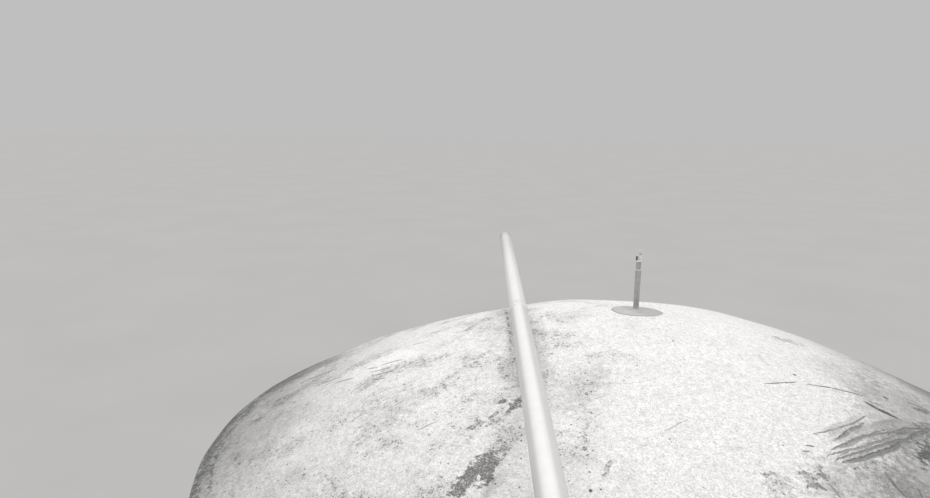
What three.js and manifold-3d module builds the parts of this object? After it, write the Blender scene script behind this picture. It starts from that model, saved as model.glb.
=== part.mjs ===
// Fixed-dome biogas digester, above ground: plastered dome, gas outlet, slurry pipe over the dome,
// covered outlet chamber and open inlet chamber. Millimetres, +Z up, the ground at z = 0.
// +Y runs along the slurry pipe, away from the outlet chamber. Sizes and places are given from the
// centre of the dome, and the whole is then moved so that its plan is centred on the origin.
import * as THREE from "three";
import { mergeVertices } from "three/addons/utils/BufferGeometryUtils.js";
import Module from "manifold-3d";

const wasm = await Module();
wasm.setup();

// Clearance between pieces that touch
const fit = 0.3;

// Dome: a cap of plastered masonry. At a share of the foot radius, its face stands at the rise times
// (1 - flare * share squared) * (1 - share squared). The crown is the part within crownShare.
const domeFootRadius = 3867;
const domeRise = 1181;
const domeFlare = 0.164;
const domeThickness = 120;
const domeSegments = 16;
const domeSides = 80;
const crownShare = 0.4;
const crownRings = 3;
const flankRings = 6;

// Slurry pipe: two lengths of six-inch pipe (168.3 mm), laid over the dome and joined by a socket
const pipeContact = 1019;
const pipeRadius = 84.15;
const pipeWall = 5.2;
const pipeSides = 32;
const pipeFarEnd = 4350;
const pipeNearEnd = -4000;
const socketMouth = 250;
const socketDepth = 120;
const socketWall = 5.7;
const socketTaper = 30;
const spigotGap = 10;

// Gas outlet on the crown, with heights above the dome's face at the riser
const padX = 120;
const padY = 416;
const padRadius = 245;
const padRise = 4;
const padSides = 56;
const outletX = 133;
const outletY = 517;
const riserRadius = 27.5;
const riserWall = 2.4;
const riserSides = 28;
const couplingBottom = 347;
const couplingRadius = 30;
const couplingHeight = 41;
const couplingOverlap = 24;
const rimRadius = 31;
const rimHeight = 9;
const nippleRadius = 24;
const nippleWall = 2.4;
const capHeight = 12;
const capBottom = 475;
const capRadius = 31;
const adapterOffset = 12.5;
const adapterRadius = 18.5;
const adapterHeight = 44;
const adapterSides = 24;
const gasBore = 8;
const tailRadius = 11;
const tailHeight = 62;
const clipThickness = 2;
const clipHeight = 12;
const clipLift = 14;
const clipScrewLength = 16;
const clipScrewWidth = 9;
const plugOffset = -20.5;
const plugRadius = 9;
const plugHeight = 38;
const plugSides = 16;

// Outlet chamber: walls and cover slabs at the near foot of the dome, where the slurry pipe starts
const outletWidth = 1400;
const outletLength = 1400;
const outletDomeSide = -3740;
const outletHeight = 1330;
const outletWall = 150;
const coverCount = 3;
const coverThickness = 80;
const coverJoint = 6;

// Inlet chamber: an open box at the foot of the dome, set out from the dome's centre
const inletDirection = -27;
const inletDomeSide = 3757;
const inletWidth = 1000;
const inletLength = 1100;
const inletHeight = 620;
const inletWall = 130;
const inletFloor = 150;
const dropRadius = 100;
const dropWall = 4.9;
const dropSides = 32;
const dropRim = 12;
const dropFromWall = 260;

// Values worked out from the sizes above
const radians = Math.PI / 180;
const above = domeRise * 2;
const pipeLean = faceLean(pipeContact / domeFootRadius);
const [pipeReach, pipeHeight] = facePoint(pipeContact / domeFootRadius, -pipeRadius - fit);
const pipeOffset = -pipeReach;
const outletShare = Math.hypot(outletX, outletY) / domeFootRadius;
const outletZ = faceHeight(outletShare);

const finishes = {
  plaster: { color: 0xd9d9d6, roughness: 0.9, metalness: 0 },
  cement: { color: 0x9a9a97, roughness: 0.9, metalness: 0 },
  concrete: { color: 0xa8a7a2, roughness: 0.92, metalness: 0 },
  palePipe: { color: 0xe4e4e0, roughness: 0.4, metalness: 0 },
  greyPipe: { color: 0x9b9c9c, roughness: 0.5, metalness: 0 },
  paleFitting: { color: 0xe0e0dc, roughness: 0.45, metalness: 0 },
  darkFitting: { color: 0x1c1c1d, roughness: 0.5, metalness: 0 },
  steel: { color: 0xb9bcbd, roughness: 0.35, metalness: 1 },
};

// Adds one named piece to a group
function addPiece(group, name, geometry, finish) {
  const mesh = new THREE.Mesh(geometry, new THREE.MeshStandardMaterial(finishes[finish]));
  mesh.name = name;
  group.add(mesh);
}

// A closed geometry as a solid that can be joined and cut
function solidOf(geometry) {
  const bare = geometry.index ? geometry.toNonIndexed() : geometry.clone();
  bare.deleteAttribute("normal");
  bare.deleteAttribute("uv");
  const merged = mergeVertices(bare, 1e-3);
  return new wasm.Manifold(
    new wasm.Mesh({
      numProp: 3,
      vertProperties: new Float32Array(merged.attributes.position.array),
      triVerts: new Uint32Array(merged.index.array),
    }),
  );
}

// The surface of a solid as a geometry
function geometryOf(solid) {
  const mesh = solid.getMesh();
  const geometry = new THREE.BufferGeometry();
  geometry.setAttribute("position", new THREE.BufferAttribute(mesh.vertProperties, 3));
  geometry.setIndex(new THREE.BufferAttribute(mesh.triVerts, 1));
  geometry.computeVertexNormals();
  return geometry;
}

// The height of the dome's face at a share of the foot radius
function faceHeight(share) {
  return domeRise * (1 - domeFlare * share ** 2) * (1 - share ** 2);
}

// The angle between the dome's face and the level there
function faceLean(share) {
  const fall = (1 + domeFlare - 2 * domeFlare * share ** 2) * 2 * share;
  return Math.atan((domeRise * fall) / domeFootRadius);
}

// The point that lies at a depth under the dome's face, square to it, as [distance from the axis, height]
function facePoint(share, depth) {
  const lean = faceLean(share);
  return [share * domeFootRadius - depth * Math.sin(lean), faceHeight(share) - depth * Math.cos(lean)];
}

// A run of such points from one share to another
function meridian(depth, from, to, steps) {
  const points = [];
  for (let i = 0; i <= steps; i += 1) {
    points.push(facePoint(from + ((to - from) * i) / steps, depth));
  }
  return points;
}

// A section of [distance from the axis, position along it] points, turned about the Y axis
function turnedAlongY(points, sides) {
  const section = points.map(([distance, position]) => new THREE.Vector2(distance, position));
  return new THREE.LatheGeometry(section, sides);
}

// The same about the Z axis
function turned(points, sides) {
  return turnedAlongY(points, sides).rotateX(Math.PI / 2);
}

// An upright tube between two heights
function tube(outer, inner, bottom, top, sides) {
  const section = [
    [inner, bottom],
    [outer, bottom],
    [outer, top],
    [inner, top],
    [inner, bottom],
  ];
  return turned(section, sides);
}

// An upright cylinder between two heights
function post(radius, bottom, top, sides) {
  const section = [
    [0, bottom],
    [radius, bottom],
    [radius, top],
    [0, top],
  ];
  return turned(section, sides);
}

// A box between two corners
function block(low, high) {
  const size = high.map((value, axis) => value - low[axis]);
  const centre = high.map((value, axis) => (value + low[axis]) / 2);
  return new THREE.BoxGeometry(...size).translate(...centre);
}

// All that lies within the dome's outer face, grown by the clearance and carried down past the ground
function domeCore() {
  const flank = meridian(-fit, 1, crownShare, flankRings);
  const crown = meridian(-fit, crownShare, 0, crownRings);
  const below = -domeThickness;
  const section = [[0, below], [flank[0][0], below], ...flank, ...crown.slice(1)];
  return solidOf(turned(section, domeSides));
}

// The hole that the riser passes through
function riserHole() {
  return solidOf(post(riserRadius + fit, 0, above, riserSides).translate(outletX, outletY, 0));
}

// A wedge in plan between two directions, drawn in by half the clearance along each side
function wedge(from, to) {
  const reach = domeFootRadius + domeRise;
  const middle = (from + to) / 2;
  const inset = fit / 2 / Math.sin((to - from) / 2);
  const tip = new THREE.Vector2(inset * Math.cos(middle), inset * Math.sin(middle));
  const shape = new THREE.Shape();
  shape.moveTo(tip.x, tip.y);
  shape.lineTo(tip.x + reach * Math.cos(from), tip.y + reach * Math.sin(from));
  shape.lineTo(tip.x + reach * Math.cos(to), tip.y + reach * Math.sin(to));
  shape.closePath();
  return solidOf(new THREE.ExtrudeGeometry(shape, { depth: above, bevelEnabled: false }));
}

function addDome(group) {
  const crown = [
    ...meridian(domeThickness, 0, crownShare, crownRings),
    ...meridian(0, crownShare, 0, crownRings),
  ];
  const crownSolid = solidOf(turned(crown, domeSides)).subtract(riserHole());
  addPiece(group, "dome_crown", geometryOf(crownSolid), "plaster");

  const top = crownShare + fit / domeFootRadius;
  const outer = meridian(0, 1, top, flankRings);
  const inner = meridian(domeThickness, top, 1, flankRings);
  const flank = solidOf(turned([...outer, ...inner, outer[0]], domeSides));
  const step = (2 * Math.PI) / domeSegments;
  for (let i = 0; i < domeSegments; i += 1) {
    const segment = flank.intersect(wedge(i * step, (i + 1) * step));
    addPiece(group, `dome_segment_${i + 1}`, geometryOf(segment), "plaster");
  }
}

// Both lengths have a corner line that faces the dome's centre, so that they rest on its face
function addSlurryPipe(group) {
  const bore = pipeRadius - pipeWall;
  const socketBore = pipeRadius + fit;
  const socketEnd = socketMouth + socketDepth;
  const far = turnedAlongY(
    [
      [socketBore, socketMouth],
      [socketBore + socketWall, socketMouth],
      [socketBore + socketWall, socketEnd],
      [pipeRadius, socketEnd + socketTaper],
      [pipeRadius, pipeFarEnd],
      [bore, pipeFarEnd],
      [bore, socketEnd + socketTaper],
      [socketBore, socketEnd],
      [socketBore, socketMouth],
    ],
    pipeSides,
  );
  const near = turnedAlongY(
    [
      [bore, pipeNearEnd],
      [pipeRadius, pipeNearEnd],
      [pipeRadius, socketEnd - spigotGap],
      [bore, socketEnd - spigotGap],
      [bore, pipeNearEnd],
    ],
    pipeSides,
  );
  const pipe = new THREE.Group();
  pipe.position.set(pipeOffset, 0, pipeHeight);
  pipe.rotation.y = -pipeLean;
  addPiece(pipe, "slurry_pipe_far", far, "palePipe");
  addPiece(pipe, "slurry_pipe_near", near, "palePipe");
  group.add(pipe);
}

// The round pad of mortar in which the riser stands: a coat of even height on the dome's face
function padGeometry() {
  const round = solidOf(post(padRadius, 0, above, padSides).translate(padX, padY, 0));
  const coat = domeCore().translate([0, 0, padRise]).intersect(round);
  return geometryOf(coat.subtract(domeCore()).subtract(riserHole()));
}

function addGasOutlet(group) {
  addPiece(group, "gas_outlet_pad", padGeometry(), "cement");

  const stack = new THREE.Group();
  stack.position.set(outletX, outletY, outletZ);
  group.add(stack);

  const foot = facePoint(outletShare, domeThickness)[1] - outletZ;
  const shoulder = couplingBottom + couplingOverlap;
  const riser = tube(riserRadius, riserRadius - riserWall, foot, shoulder - fit, riserSides);
  addPiece(stack, "gas_riser", riser, "greyPipe");

  const couplingTop = couplingBottom + couplingHeight;
  const coupling = turned(
    [
      [riserRadius + fit, couplingBottom],
      [couplingRadius, couplingBottom],
      [couplingRadius, couplingTop],
      [nippleRadius + fit, couplingTop],
      [nippleRadius + fit, shoulder],
      [riserRadius + fit, shoulder],
      [riserRadius + fit, couplingBottom],
    ],
    riserSides,
  );
  addPiece(stack, "riser_coupling", coupling, "greyPipe");
  const rimBottom = couplingTop + fit;
  const rim = tube(rimRadius, nippleRadius + fit, rimBottom, rimBottom + rimHeight, riserSides);
  addPiece(stack, "coupling_rim", rim, "paleFitting");

  const nipple = tube(nippleRadius, nippleRadius - nippleWall, shoulder, capBottom - fit, riserSides);
  addPiece(stack, "gas_nipple", nipple, "greyPipe");

  const capTop = capBottom + capHeight;
  const port = post(gasBore, 0, above, adapterSides).translate(adapterOffset, 0, 0);
  const cap = solidOf(post(capRadius, capBottom, capTop, riserSides)).subtract(solidOf(port));
  addPiece(stack, "outlet_cap", geometryOf(cap), "paleFitting");

  const adapterBottom = capTop + fit;
  const adapterTop = adapterBottom + adapterHeight;
  const adapter = turned(
    [
      [gasBore, adapterBottom],
      [adapterRadius, adapterBottom],
      [adapterRadius, adapterTop],
      [tailRadius, adapterTop],
      [tailRadius, adapterTop + tailHeight],
      [gasBore, adapterTop + tailHeight],
      [gasBore, adapterBottom],
    ],
    adapterSides,
  ).translate(adapterOffset, 0, 0);
  addPiece(stack, "hose_adapter", adapter, "paleFitting");
  addPiece(stack, "hose_clip", clipGeometry(adapterTop + clipLift), "steel");

  const plug = post(plugRadius, capTop + fit, capTop + plugHeight, plugSides);
  addPiece(stack, "test_plug", plug.translate(plugOffset, 0, 0), "darkFitting");
}

// The band of a hose clip with the housing of its screw
function clipGeometry(bottom) {
  const inner = tailRadius + fit;
  const top = bottom + clipHeight;
  const band = solidOf(tube(inner + clipThickness, inner, bottom, top, adapterSides));
  const screwLow = [-clipScrewLength / 2, -inner - clipScrewWidth, bottom];
  const screwHigh = [clipScrewLength / 2, -inner - clipThickness / 2, top];
  const screw = solidOf(block(screwLow, screwHigh));
  return geometryOf(band.add(screw)).translate(adapterOffset, 0, 0);
}

// Four walls that stand on the ground against the dome, and the slabs that cover them
function addOutletChamber(group) {
  const left = pipeOffset - outletWidth / 2;
  const right = pipeOffset + outletWidth / 2;
  const domeSide = outletDomeSide;
  const outerSide = outletDomeSide - outletLength;
  const insideHigh = domeSide - outletWall - fit;
  const insideLow = outerSide + outletWall + fit;

  const pipeHole = turnedAlongY(
    [
      [0, outerSide],
      [pipeRadius + fit, outerSide],
      [pipeRadius + fit, domeSide + outletWall],
      [0, domeSide + outletWall],
    ],
    pipeSides,
  );
  pipeHole.rotateY(-pipeLean).translate(pipeOffset, 0, pipeHeight);
  const nearWall = block([left, domeSide - outletWall, 0], [right, domeSide, outletHeight]);
  const cutWall = solidOf(nearWall).subtract(domeCore()).subtract(solidOf(pipeHole));
  addPiece(group, "outlet_wall_dome_side", geometryOf(cutWall), "concrete");
  const outerWall = block([left, outerSide, 0], [right, outerSide + outletWall, outletHeight]);
  addPiece(group, "outlet_wall_outer", outerWall, "concrete");
  const leftWall = block([left, insideLow, 0], [left + outletWall, insideHigh, outletHeight]);
  addPiece(group, "outlet_wall_left", leftWall, "concrete");
  const rightWall = block([right - outletWall, insideLow, 0], [right, insideHigh, outletHeight]);
  addPiece(group, "outlet_wall_right", rightWall, "concrete");

  const pitch = (outletLength + coverJoint) / coverCount;
  const bottom = outletHeight + fit;
  for (let i = 0; i < coverCount; i += 1) {
    const start = outerSide + i * pitch;
    const end = start + pitch - coverJoint;
    const cover = block([left, start, bottom], [right, end, bottom + coverThickness]);
    addPiece(group, `outlet_cover_${i + 1}`, cover, "concrete");
  }
}

// Four walls and a floor, with the drop pipe that takes the feed down; x runs outwards from the dome
function addInletChamber(group) {
  const inlet = new THREE.Group();
  inlet.rotation.z = inletDirection * radians;
  group.add(inlet);

  const near = inletDomeSide;
  const far = inletDomeSide + inletLength;
  const side = inletWidth / 2;
  const insideNear = near + inletWall + fit;
  const insideFar = far - inletWall - fit;
  const insideSide = side - inletWall - fit;

  const domeWall = solidOf(block([near, -side, 0], [near + inletWall, side, inletHeight]));
  const cutWall = domeWall.subtract(domeCore());
  addPiece(inlet, "inlet_wall_dome_side", geometryOf(cutWall), "concrete");
  const outerWall = block([far - inletWall, -side, 0], [far, side, inletHeight]);
  addPiece(inlet, "inlet_wall_outer", outerWall, "concrete");
  const rightWall = block([insideNear, -side, 0], [insideFar, inletWall - side, inletHeight]);
  addPiece(inlet, "inlet_wall_right", rightWall, "concrete");
  const leftWall = block([insideNear, side - inletWall, 0], [insideFar, side, inletHeight]);
  addPiece(inlet, "inlet_wall_left", leftWall, "concrete");

  const dropX = near + inletWall + dropFromWall;
  const floor = block([insideNear, -insideSide, 0], [insideFar, insideSide, inletFloor]);
  const hole = post(dropRadius + fit, -inletFloor, inletHeight, dropSides).translate(dropX, 0, 0);
  const cutFloor = solidOf(floor).subtract(solidOf(hole));
  addPiece(inlet, "inlet_floor", geometryOf(cutFloor), "concrete");
  const drop = tube(dropRadius, dropRadius - dropWall, 0, inletFloor + dropRim, dropSides);
  addPiece(inlet, "inlet_drop_pipe", drop.translate(dropX, 0, 0), "palePipe");
}

const placed = new THREE.Group();
addDome(placed);
addSlurryPipe(placed);
addGasOutlet(placed);
addOutletChamber(placed);
addInletChamber(placed);

const plan = new THREE.Box3().setFromObject(placed, true);
placed.position.x = -(plan.min.x + plan.max.x) / 2;
placed.position.y = -(plan.min.y + plan.max.y) / 2;

const digester = new THREE.Group();
digester.add(placed);

export default digester;
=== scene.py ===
import math
from functools import reduce
import bmesh
import bpy
import numpy as np
from mathutils import Matrix, Vector


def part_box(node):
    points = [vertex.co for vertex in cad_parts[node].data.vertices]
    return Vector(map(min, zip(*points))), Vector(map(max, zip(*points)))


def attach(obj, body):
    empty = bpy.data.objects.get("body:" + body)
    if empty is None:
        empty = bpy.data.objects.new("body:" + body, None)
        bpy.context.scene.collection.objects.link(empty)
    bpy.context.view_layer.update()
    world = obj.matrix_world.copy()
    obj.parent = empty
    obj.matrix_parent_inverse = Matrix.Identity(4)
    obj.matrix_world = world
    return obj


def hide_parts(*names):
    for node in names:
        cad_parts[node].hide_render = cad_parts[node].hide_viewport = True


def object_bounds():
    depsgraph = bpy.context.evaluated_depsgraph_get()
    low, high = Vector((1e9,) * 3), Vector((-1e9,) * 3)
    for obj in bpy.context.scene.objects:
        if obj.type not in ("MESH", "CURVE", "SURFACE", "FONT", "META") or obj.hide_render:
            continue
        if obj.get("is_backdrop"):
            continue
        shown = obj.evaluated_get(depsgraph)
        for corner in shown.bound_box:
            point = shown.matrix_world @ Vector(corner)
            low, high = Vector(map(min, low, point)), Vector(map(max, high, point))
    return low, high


# Fixed-dome biogas digester: whitewashed dome, gas outlet, slurry pipe, outlet and inlet chambers.
# Metres, +Z up. Places are given from the centre of the dome unless a note says otherwise.

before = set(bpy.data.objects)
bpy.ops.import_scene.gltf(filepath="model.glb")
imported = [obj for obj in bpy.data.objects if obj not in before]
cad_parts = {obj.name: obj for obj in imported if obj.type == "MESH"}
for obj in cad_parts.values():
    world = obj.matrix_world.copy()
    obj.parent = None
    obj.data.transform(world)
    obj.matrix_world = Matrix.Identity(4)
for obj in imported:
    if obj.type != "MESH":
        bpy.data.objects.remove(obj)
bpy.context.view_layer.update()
crownLow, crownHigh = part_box("dome_crown")
domeCentre = np.array([(crownLow.x + crownHigh.x) / 2, (crownLow.y + crownHigh.y) / 2, 0.0])
# Gap that the solids leave between pieces that touch
fit = 0.0003
# Angle in degrees between two faces up to which their edge is shaded smooth, for each form of piece
smoothAngles = {"nut": 28, "turned": 35, "walls": 45, "block": 50, "surface": 60}
print("frame loaded, dome centre", domeCentre.round(4))


# Waves: sum of seeded sine waves of about one length in random directions, scaled to about one.
def ripple(points, length, seed, count=14):
    rng = np.random.default_rng(seed)
    headings = rng.normal(size=(count, 3))
    headings /= np.linalg.norm(headings, axis=1, keepdims=True)
    turns = 2 * math.pi / (length * rng.uniform(0.7, 1.5, count))
    phases = rng.uniform(0, 2 * math.pi, count)
    return np.sin(points @ (headings * turns[:, None]).T + phases).sum(-1) / math.sqrt(count)


# Angles once round. The last one is equal to the first, so that a grid's seam closes.
def roundAngles(sides):
    angle = np.linspace(0, 2 * math.pi, sides + 1)
    angle[-1] = 0.0
    return angle


# Points of a circle in plan whose radius is one.
def unitCircle(angle):
    return np.stack([np.cos(angle), np.sin(angle)], -1)


# Waves along a circle whose radius is one.
def roundRipple(angle, length, seed):
    return ripple(np.stack([np.cos(angle), np.sin(angle), 0 * angle], -1), length, seed)


# Rows of points in plan, each row set at its own height.
def raised(plan, level):
    return np.concatenate([plan, np.broadcast_to(level[:, None, None], plan.shape[:2] + (1,))], -1)


# Smooth step: 0 below low, 1 above high, and the cubic 3t^2 - 2t^3 between.
def easeBetween(values, low, high):
    t = np.clip((values - low) / (high - low), 0, 1)
    return t * t * (3 - 2 * t)


# Grids of points become one mesh: neighbouring points make a face, points that meet are merged,
# and a face with two corners in one place becomes a triangle.
def meshFromGrids(name, grids, form):
    points, quads, start = [], [], 0
    for grid in grids:
        rows, columns = grid.shape[:2]
        index = start + np.arange(rows * columns).reshape(rows, columns)
        corners = [index[:-1, :-1], index[:-1, 1:], index[1:, 1:], index[1:, :-1]]
        quads.append(np.stack(corners, -1).reshape(-1, 4))
        points.append(grid.reshape(-1, 3))
        start += rows * columns
    points, quads = np.concatenate(points), np.concatenate(quads)
    _, first, merged = np.unique(np.round(points, 6), axis=0, return_index=True, return_inverse=True)
    points, quads = points[first], merged.reshape(-1)[quads]
    doubled = quads == np.roll(quads, -1, axis=1)
    fours = quads[~doubled.any(1)]
    pinched = doubled.sum(1) == 1
    threes = quads[pinched][~doubled[pinched]].reshape(-1, 3)
    mesh = bpy.data.meshes.new(name)
    mesh.vertices.add(len(points))
    mesh.vertices.foreach_set("co", points.astype(np.float32).ravel())
    corners = np.concatenate([fours.ravel(), threes.ravel()])
    mesh.loops.add(len(corners))
    mesh.loops.foreach_set("vertex_index", corners.astype(np.int32))
    sizes = np.concatenate([np.full(len(fours), 4), np.full(len(threes), 3)])
    mesh.polygons.add(len(sizes))
    starts = np.concatenate([[0], np.cumsum(sizes)[:-1]])
    mesh.polygons.foreach_set("loop_start", starts.astype(np.int32))
    mesh.update(calc_edges=True)
    mesh.validate()
    return finishMesh(mesh, form)


# Turns the faces of a closed mesh outwards and shades it smooth up to the angle that its form has.
def finishMesh(mesh, form):
    work = bmesh.new()
    work.from_mesh(mesh)
    bmesh.ops.recalc_face_normals(work, faces=work.faces)
    work.to_mesh(mesh)
    work.free()
    mesh.shade_smooth()
    mesh.set_sharp_from_angle(angle=math.radians(smoothAngles[form]))
    return mesh


def addObject(name, data):
    made = bpy.data.objects.new(name, data)
    bpy.context.scene.collection.objects.link(made)
    return made


# Adds a mesh as a piece that rides on the part and stands for CAD nodes. Its look is a material and a slot;
# the slot is not used.
def addPiece(name, mesh, look, *nodes):
    material, slot = look
    piece = addObject(name, mesh)
    mesh.materials.clear()
    mesh.materials.append(material)
    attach(piece, "root")
    if nodes:
        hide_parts(*nodes)


# The same for grids of points.
def addGrids(name, grids, form, look, *nodes):
    addPiece(name, meshFromGrids(name, grids, form), look, *nodes)


# Rounds the corners of a section: each corner becomes a quadratic curve between its two edges.
def softened(section, radius, closed=True, steps=3):
    section = np.asarray(section, float)
    before, after = np.roll(section, 1, axis=0), np.roll(section, -1, axis=0)

    def towards(other):
        way = other - section
        length = np.linalg.norm(way, axis=1, keepdims=True)
        return section + way * np.minimum(radius / np.maximum(length, 1e-9), 0.45)

    t = np.linspace(0, 1, steps)[None, :, None]
    a, b = towards(before)[:, None], towards(after)[:, None]
    curve = (1 - t) ** 2 * a + 2 * t * (1 - t) * section[:, None] + t ** 2 * b
    if not closed:
        curve[0], curve[-1] = section[0], section[-1]
    return curve.reshape(-1, 2)


# Points along the straight stretches of a section, no further apart than a cell.
def spreadSection(section, cell):
    section = np.asarray(section, float)
    closed = np.concatenate([section, section[:1]])
    runs = []
    for a, b in zip(closed[:-1], closed[1:]):
        runs.append(np.linspace(a, b, max(2, int(np.linalg.norm(b - a) / cell) + 2))[:-1])
    return np.concatenate(runs)


# A section of (distance from an axis, place along it) turned round that axis, which is Y or Z.
def turned(section, centre, sides, axis="Z", closed=True):
    section = np.asarray(section, float)
    if closed:
        section = np.concatenate([section, section[:1]])
    angle = roundAngles(sides)
    radius, place = section[:, :1], section[:, 1:] + 0 * angle
    across, up = radius * np.cos(angle), radius * np.sin(angle)
    grid = np.stack([across, up, place] if axis == "Z" else [across, place, up], -1)
    return grid + np.asarray(centre, float)


# A section of four corners for a tube wall between two places.
def tubeSection(outer, inner, low, high):
    return [(inner, low), (outer, low), (outer, high), (inner, high)]


# Places along an edge: close together in the rounded ends, evenly spaced between them.
def edgePlaces(low, high, edge, cell):
    count = max(2, int(round((high - low - 2 * edge) / cell)) + 1)
    ends = np.linspace(0, edge, 4)[:-1]
    return np.concatenate([low + ends, np.linspace(low + edge, high - edge, count), high - ends[::-1]])


# Rounded block: every point of a box is drawn onto the surface that lies an edge radius outside an
# inner box. Waves then move it along that direction, and chips press in where edges are sharpest.
def roundedBlock(low, high, edge, cell, rough, chip, seed):
    low, high = np.asarray(low, float), np.asarray(high, float)
    roughLength, chipLength = 0.28, 0.11
    places = [edgePlaces(low[i], high[i], edge, cell) for i in range(3)]
    grids = []
    for axis in range(3):
        first, second = [i for i in range(3) if i != axis]
        u, v = np.meshgrid(places[first], places[second], indexing="ij")
        for end in (low[axis], high[axis]):
            grid = np.empty(u.shape + (3,))
            grid[..., axis], grid[..., first], grid[..., second] = end, u, v
            core = np.clip(grid, low + edge, high - edge)
            out = grid - core
            out /= np.maximum(np.linalg.norm(out, axis=-1, keepdims=True), 1e-9)
            worn = easeBetween(1 - np.abs(out).max(-1), 0.02, 0.25)
            bite = np.clip(ripple(grid, chipLength, seed + 1) - 0.55, 0, 1.2) * worn
            move = rough * ripple(grid, roughLength, seed) - chip * bite
            grids.append(core + out * (edge + move[..., None]))
    return grids


# Length of bar along a path: rings of one radius stand square to the path's own direction.
def alongPath(path, radius, sides):
    path = np.asarray(path, float)
    ahead = np.gradient(path, axis=0)
    ahead /= np.linalg.norm(ahead, axis=1, keepdims=True)
    side = np.cross(ahead, [0.0, 0.0, 1.0])
    side[np.linalg.norm(side, axis=1) < 1e-6] = [1.0, 0.0, 0.0]
    side /= np.linalg.norm(side, axis=1, keepdims=True)
    side *= np.where(side @ side[len(side) // 2] < 0, -1, 1)[:, None]
    over = np.cross(side, ahead)
    angle = roundAngles(sides)
    ring = np.cos(angle)[None, :, None] * side[:, None] + np.sin(angle)[None, :, None] * over[:, None]
    grid = path[:, None] + radius * ring
    ends = [np.repeat(path[i][None, None], sides + 1, axis=1) for i in (0, -1)]
    return np.concatenate([ends[0], grid, ends[1]])


# Sets a node's inputs: a field is linked, and anything else becomes the input's own value.
def setInputs(node, inputs):
    for key, value in inputs.items():
        if isinstance(value, Field):
            node.id_data.links.new(value.socket, node.inputs[key])
        else:
            node.inputs[key].default_value = value


def addNode(tree, kind, inputs=None, **settings):
    made = tree.nodes.new(kind)
    for key, value in settings.items():
        setattr(made, key, value)
    setInputs(made, inputs or {})
    return made


# A number, vector or colour that a node gives. Sums and products of fields add the nodes that work them
# out, so that a formula is written as one.
class Field:
    def __init__(self, socket):
        self.socket, self.tree = socket, socket.id_data

    def maths(self, operation, *others, result=0):
        kind = "ShaderNodeMath" if self.socket.type == "VALUE" else "ShaderNodeVectorMath"
        made = addNode(self.tree, kind, dict(enumerate([self, *others])), operation=operation)
        return Field(made.outputs[result])

    def __add__(self, other):
        return self.maths("ADD", other)

    def __sub__(self, other):
        return self.maths("SUBTRACT", other)

    def __rsub__(self, other):
        return self.maths("MULTIPLY_ADD", -1.0, other)

    def __mul__(self, other):
        return self.maths("MULTIPLY", other)

    def __truediv__(self, other):
        return self.maths("DIVIDE", other)

    def size(self):
        return self.maths("ABSOLUTE")

    def part(self, axis):
        return Field(addNode(self.tree, "ShaderNodeSeparateXYZ", {0: self}).outputs[axis])

    # Smooth step from one value below low to another above high, where low may also be the larger.
    def ranged(self, low, high, outLow=0.0, outHigh=1.0):
        inputs = dict(enumerate([self, low, high, outLow, outHigh]))
        made = addNode(self.tree, "ShaderNodeMapRange", inputs, interpolation_type="SMOOTHSTEP")
        return Field(made.outputs[0])

    def noise(self, scale, detail=2.0, roughness=0.5, distortion=0.0, result="Fac"):
        inputs = {"Scale": scale, "Detail": detail, "Roughness": roughness, "Distortion": distortion}
        return Field(addNode(self.tree, "ShaderNodeTexNoise", {"Vector": self, **inputs}).outputs[result])


# The largest of some fields and numbers, of which the last is a field.
def most(*values):
    return reduce(lambda largest, value: value.maths("MAXIMUM", largest), values)


# A vector of three fields or numbers.
def joined(*parts):
    tree = next(part.tree for part in parts if isinstance(part, Field))
    return Field(addNode(tree, "ShaderNodeCombineXYZ", dict(enumerate(parts))).outputs[0])


def faceNormal(tree):
    return Field(addNode(tree, "ShaderNodeNewGeometry").outputs["Normal"])


# The first colour where the mask is 0 and the second where it is 1.
def mixed(mask, first, second):
    made = addNode(mask.tree, "ShaderNodeMix", {0: mask, 6: first, 7: second}, data_type="RGBA")
    return Field(made.outputs[2])


# A colour under coats of (mask, colour), one over the other.
def coated(colour, *coats):
    return reduce(lambda below, coat: mixed(coat[0], below, coat[1]), coats, colour)


def grey(value, warmth=0.012):
    return (value * (1 + warmth), value, value * (1 - warmth), 1.0)


# A node group: inputs are names with their usual values, and build makes fields with names from them.
def makeGroup(name, inputs, build):
    group = bpy.data.node_groups.new(name, "ShaderNodeTree")
    for label, usual in inputs.items():
        kind = "NodeSocketVector" if isinstance(usual, tuple) else "NodeSocketFloat"
        group.interface.new_socket(name=label, in_out="INPUT", socket_type=kind).default_value = usual
    fields = build({socket.name: Field(socket) for socket in group.nodes.new("NodeGroupInput").outputs})
    for label in fields:
        group.interface.new_socket(name=label, in_out="OUTPUT", socket_type="NodeSocketFloat")
    setInputs(group.nodes.new("NodeGroupOutput"), fields)
    return group


# Puts a group to use at the place that its input Vector gives.
def useGroup(group, inputs):
    made = addNode(inputs["Vector"].tree, "ShaderNodeGroup", inputs, node_tree=group)
    return {socket.name: Field(socket) for socket in made.outputs}


# Sandy grain, with dark pits in the cells whose own number is under a given share. A pit's radius is the pit
# size times the sum of that number and a half, and the grain roughens its edge.
def sandGrainFields(given):
    fine = given["Vector"].noise(given["Grain Scale"], 4.0, 0.7)
    inputs = {"Vector": given["Vector"], "Scale": given["Pit Scale"]}
    cells = addNode(fine.tree, "ShaderNodeTexVoronoi", inputs)
    chosen = Field(cells.outputs["Color"]).part(0)
    edge = Field(cells.outputs["Distance"]) + fine * 0.12 - 0.06
    inside = edge.maths("LESS_THAN", given["Pit Size"] * (chosen + 0.5))
    pits = chosen.maths("LESS_THAN", given["Pit Share"]) * inside
    return {"Grain": fine, "Pits": pits, "Height": fine - pits}


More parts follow.
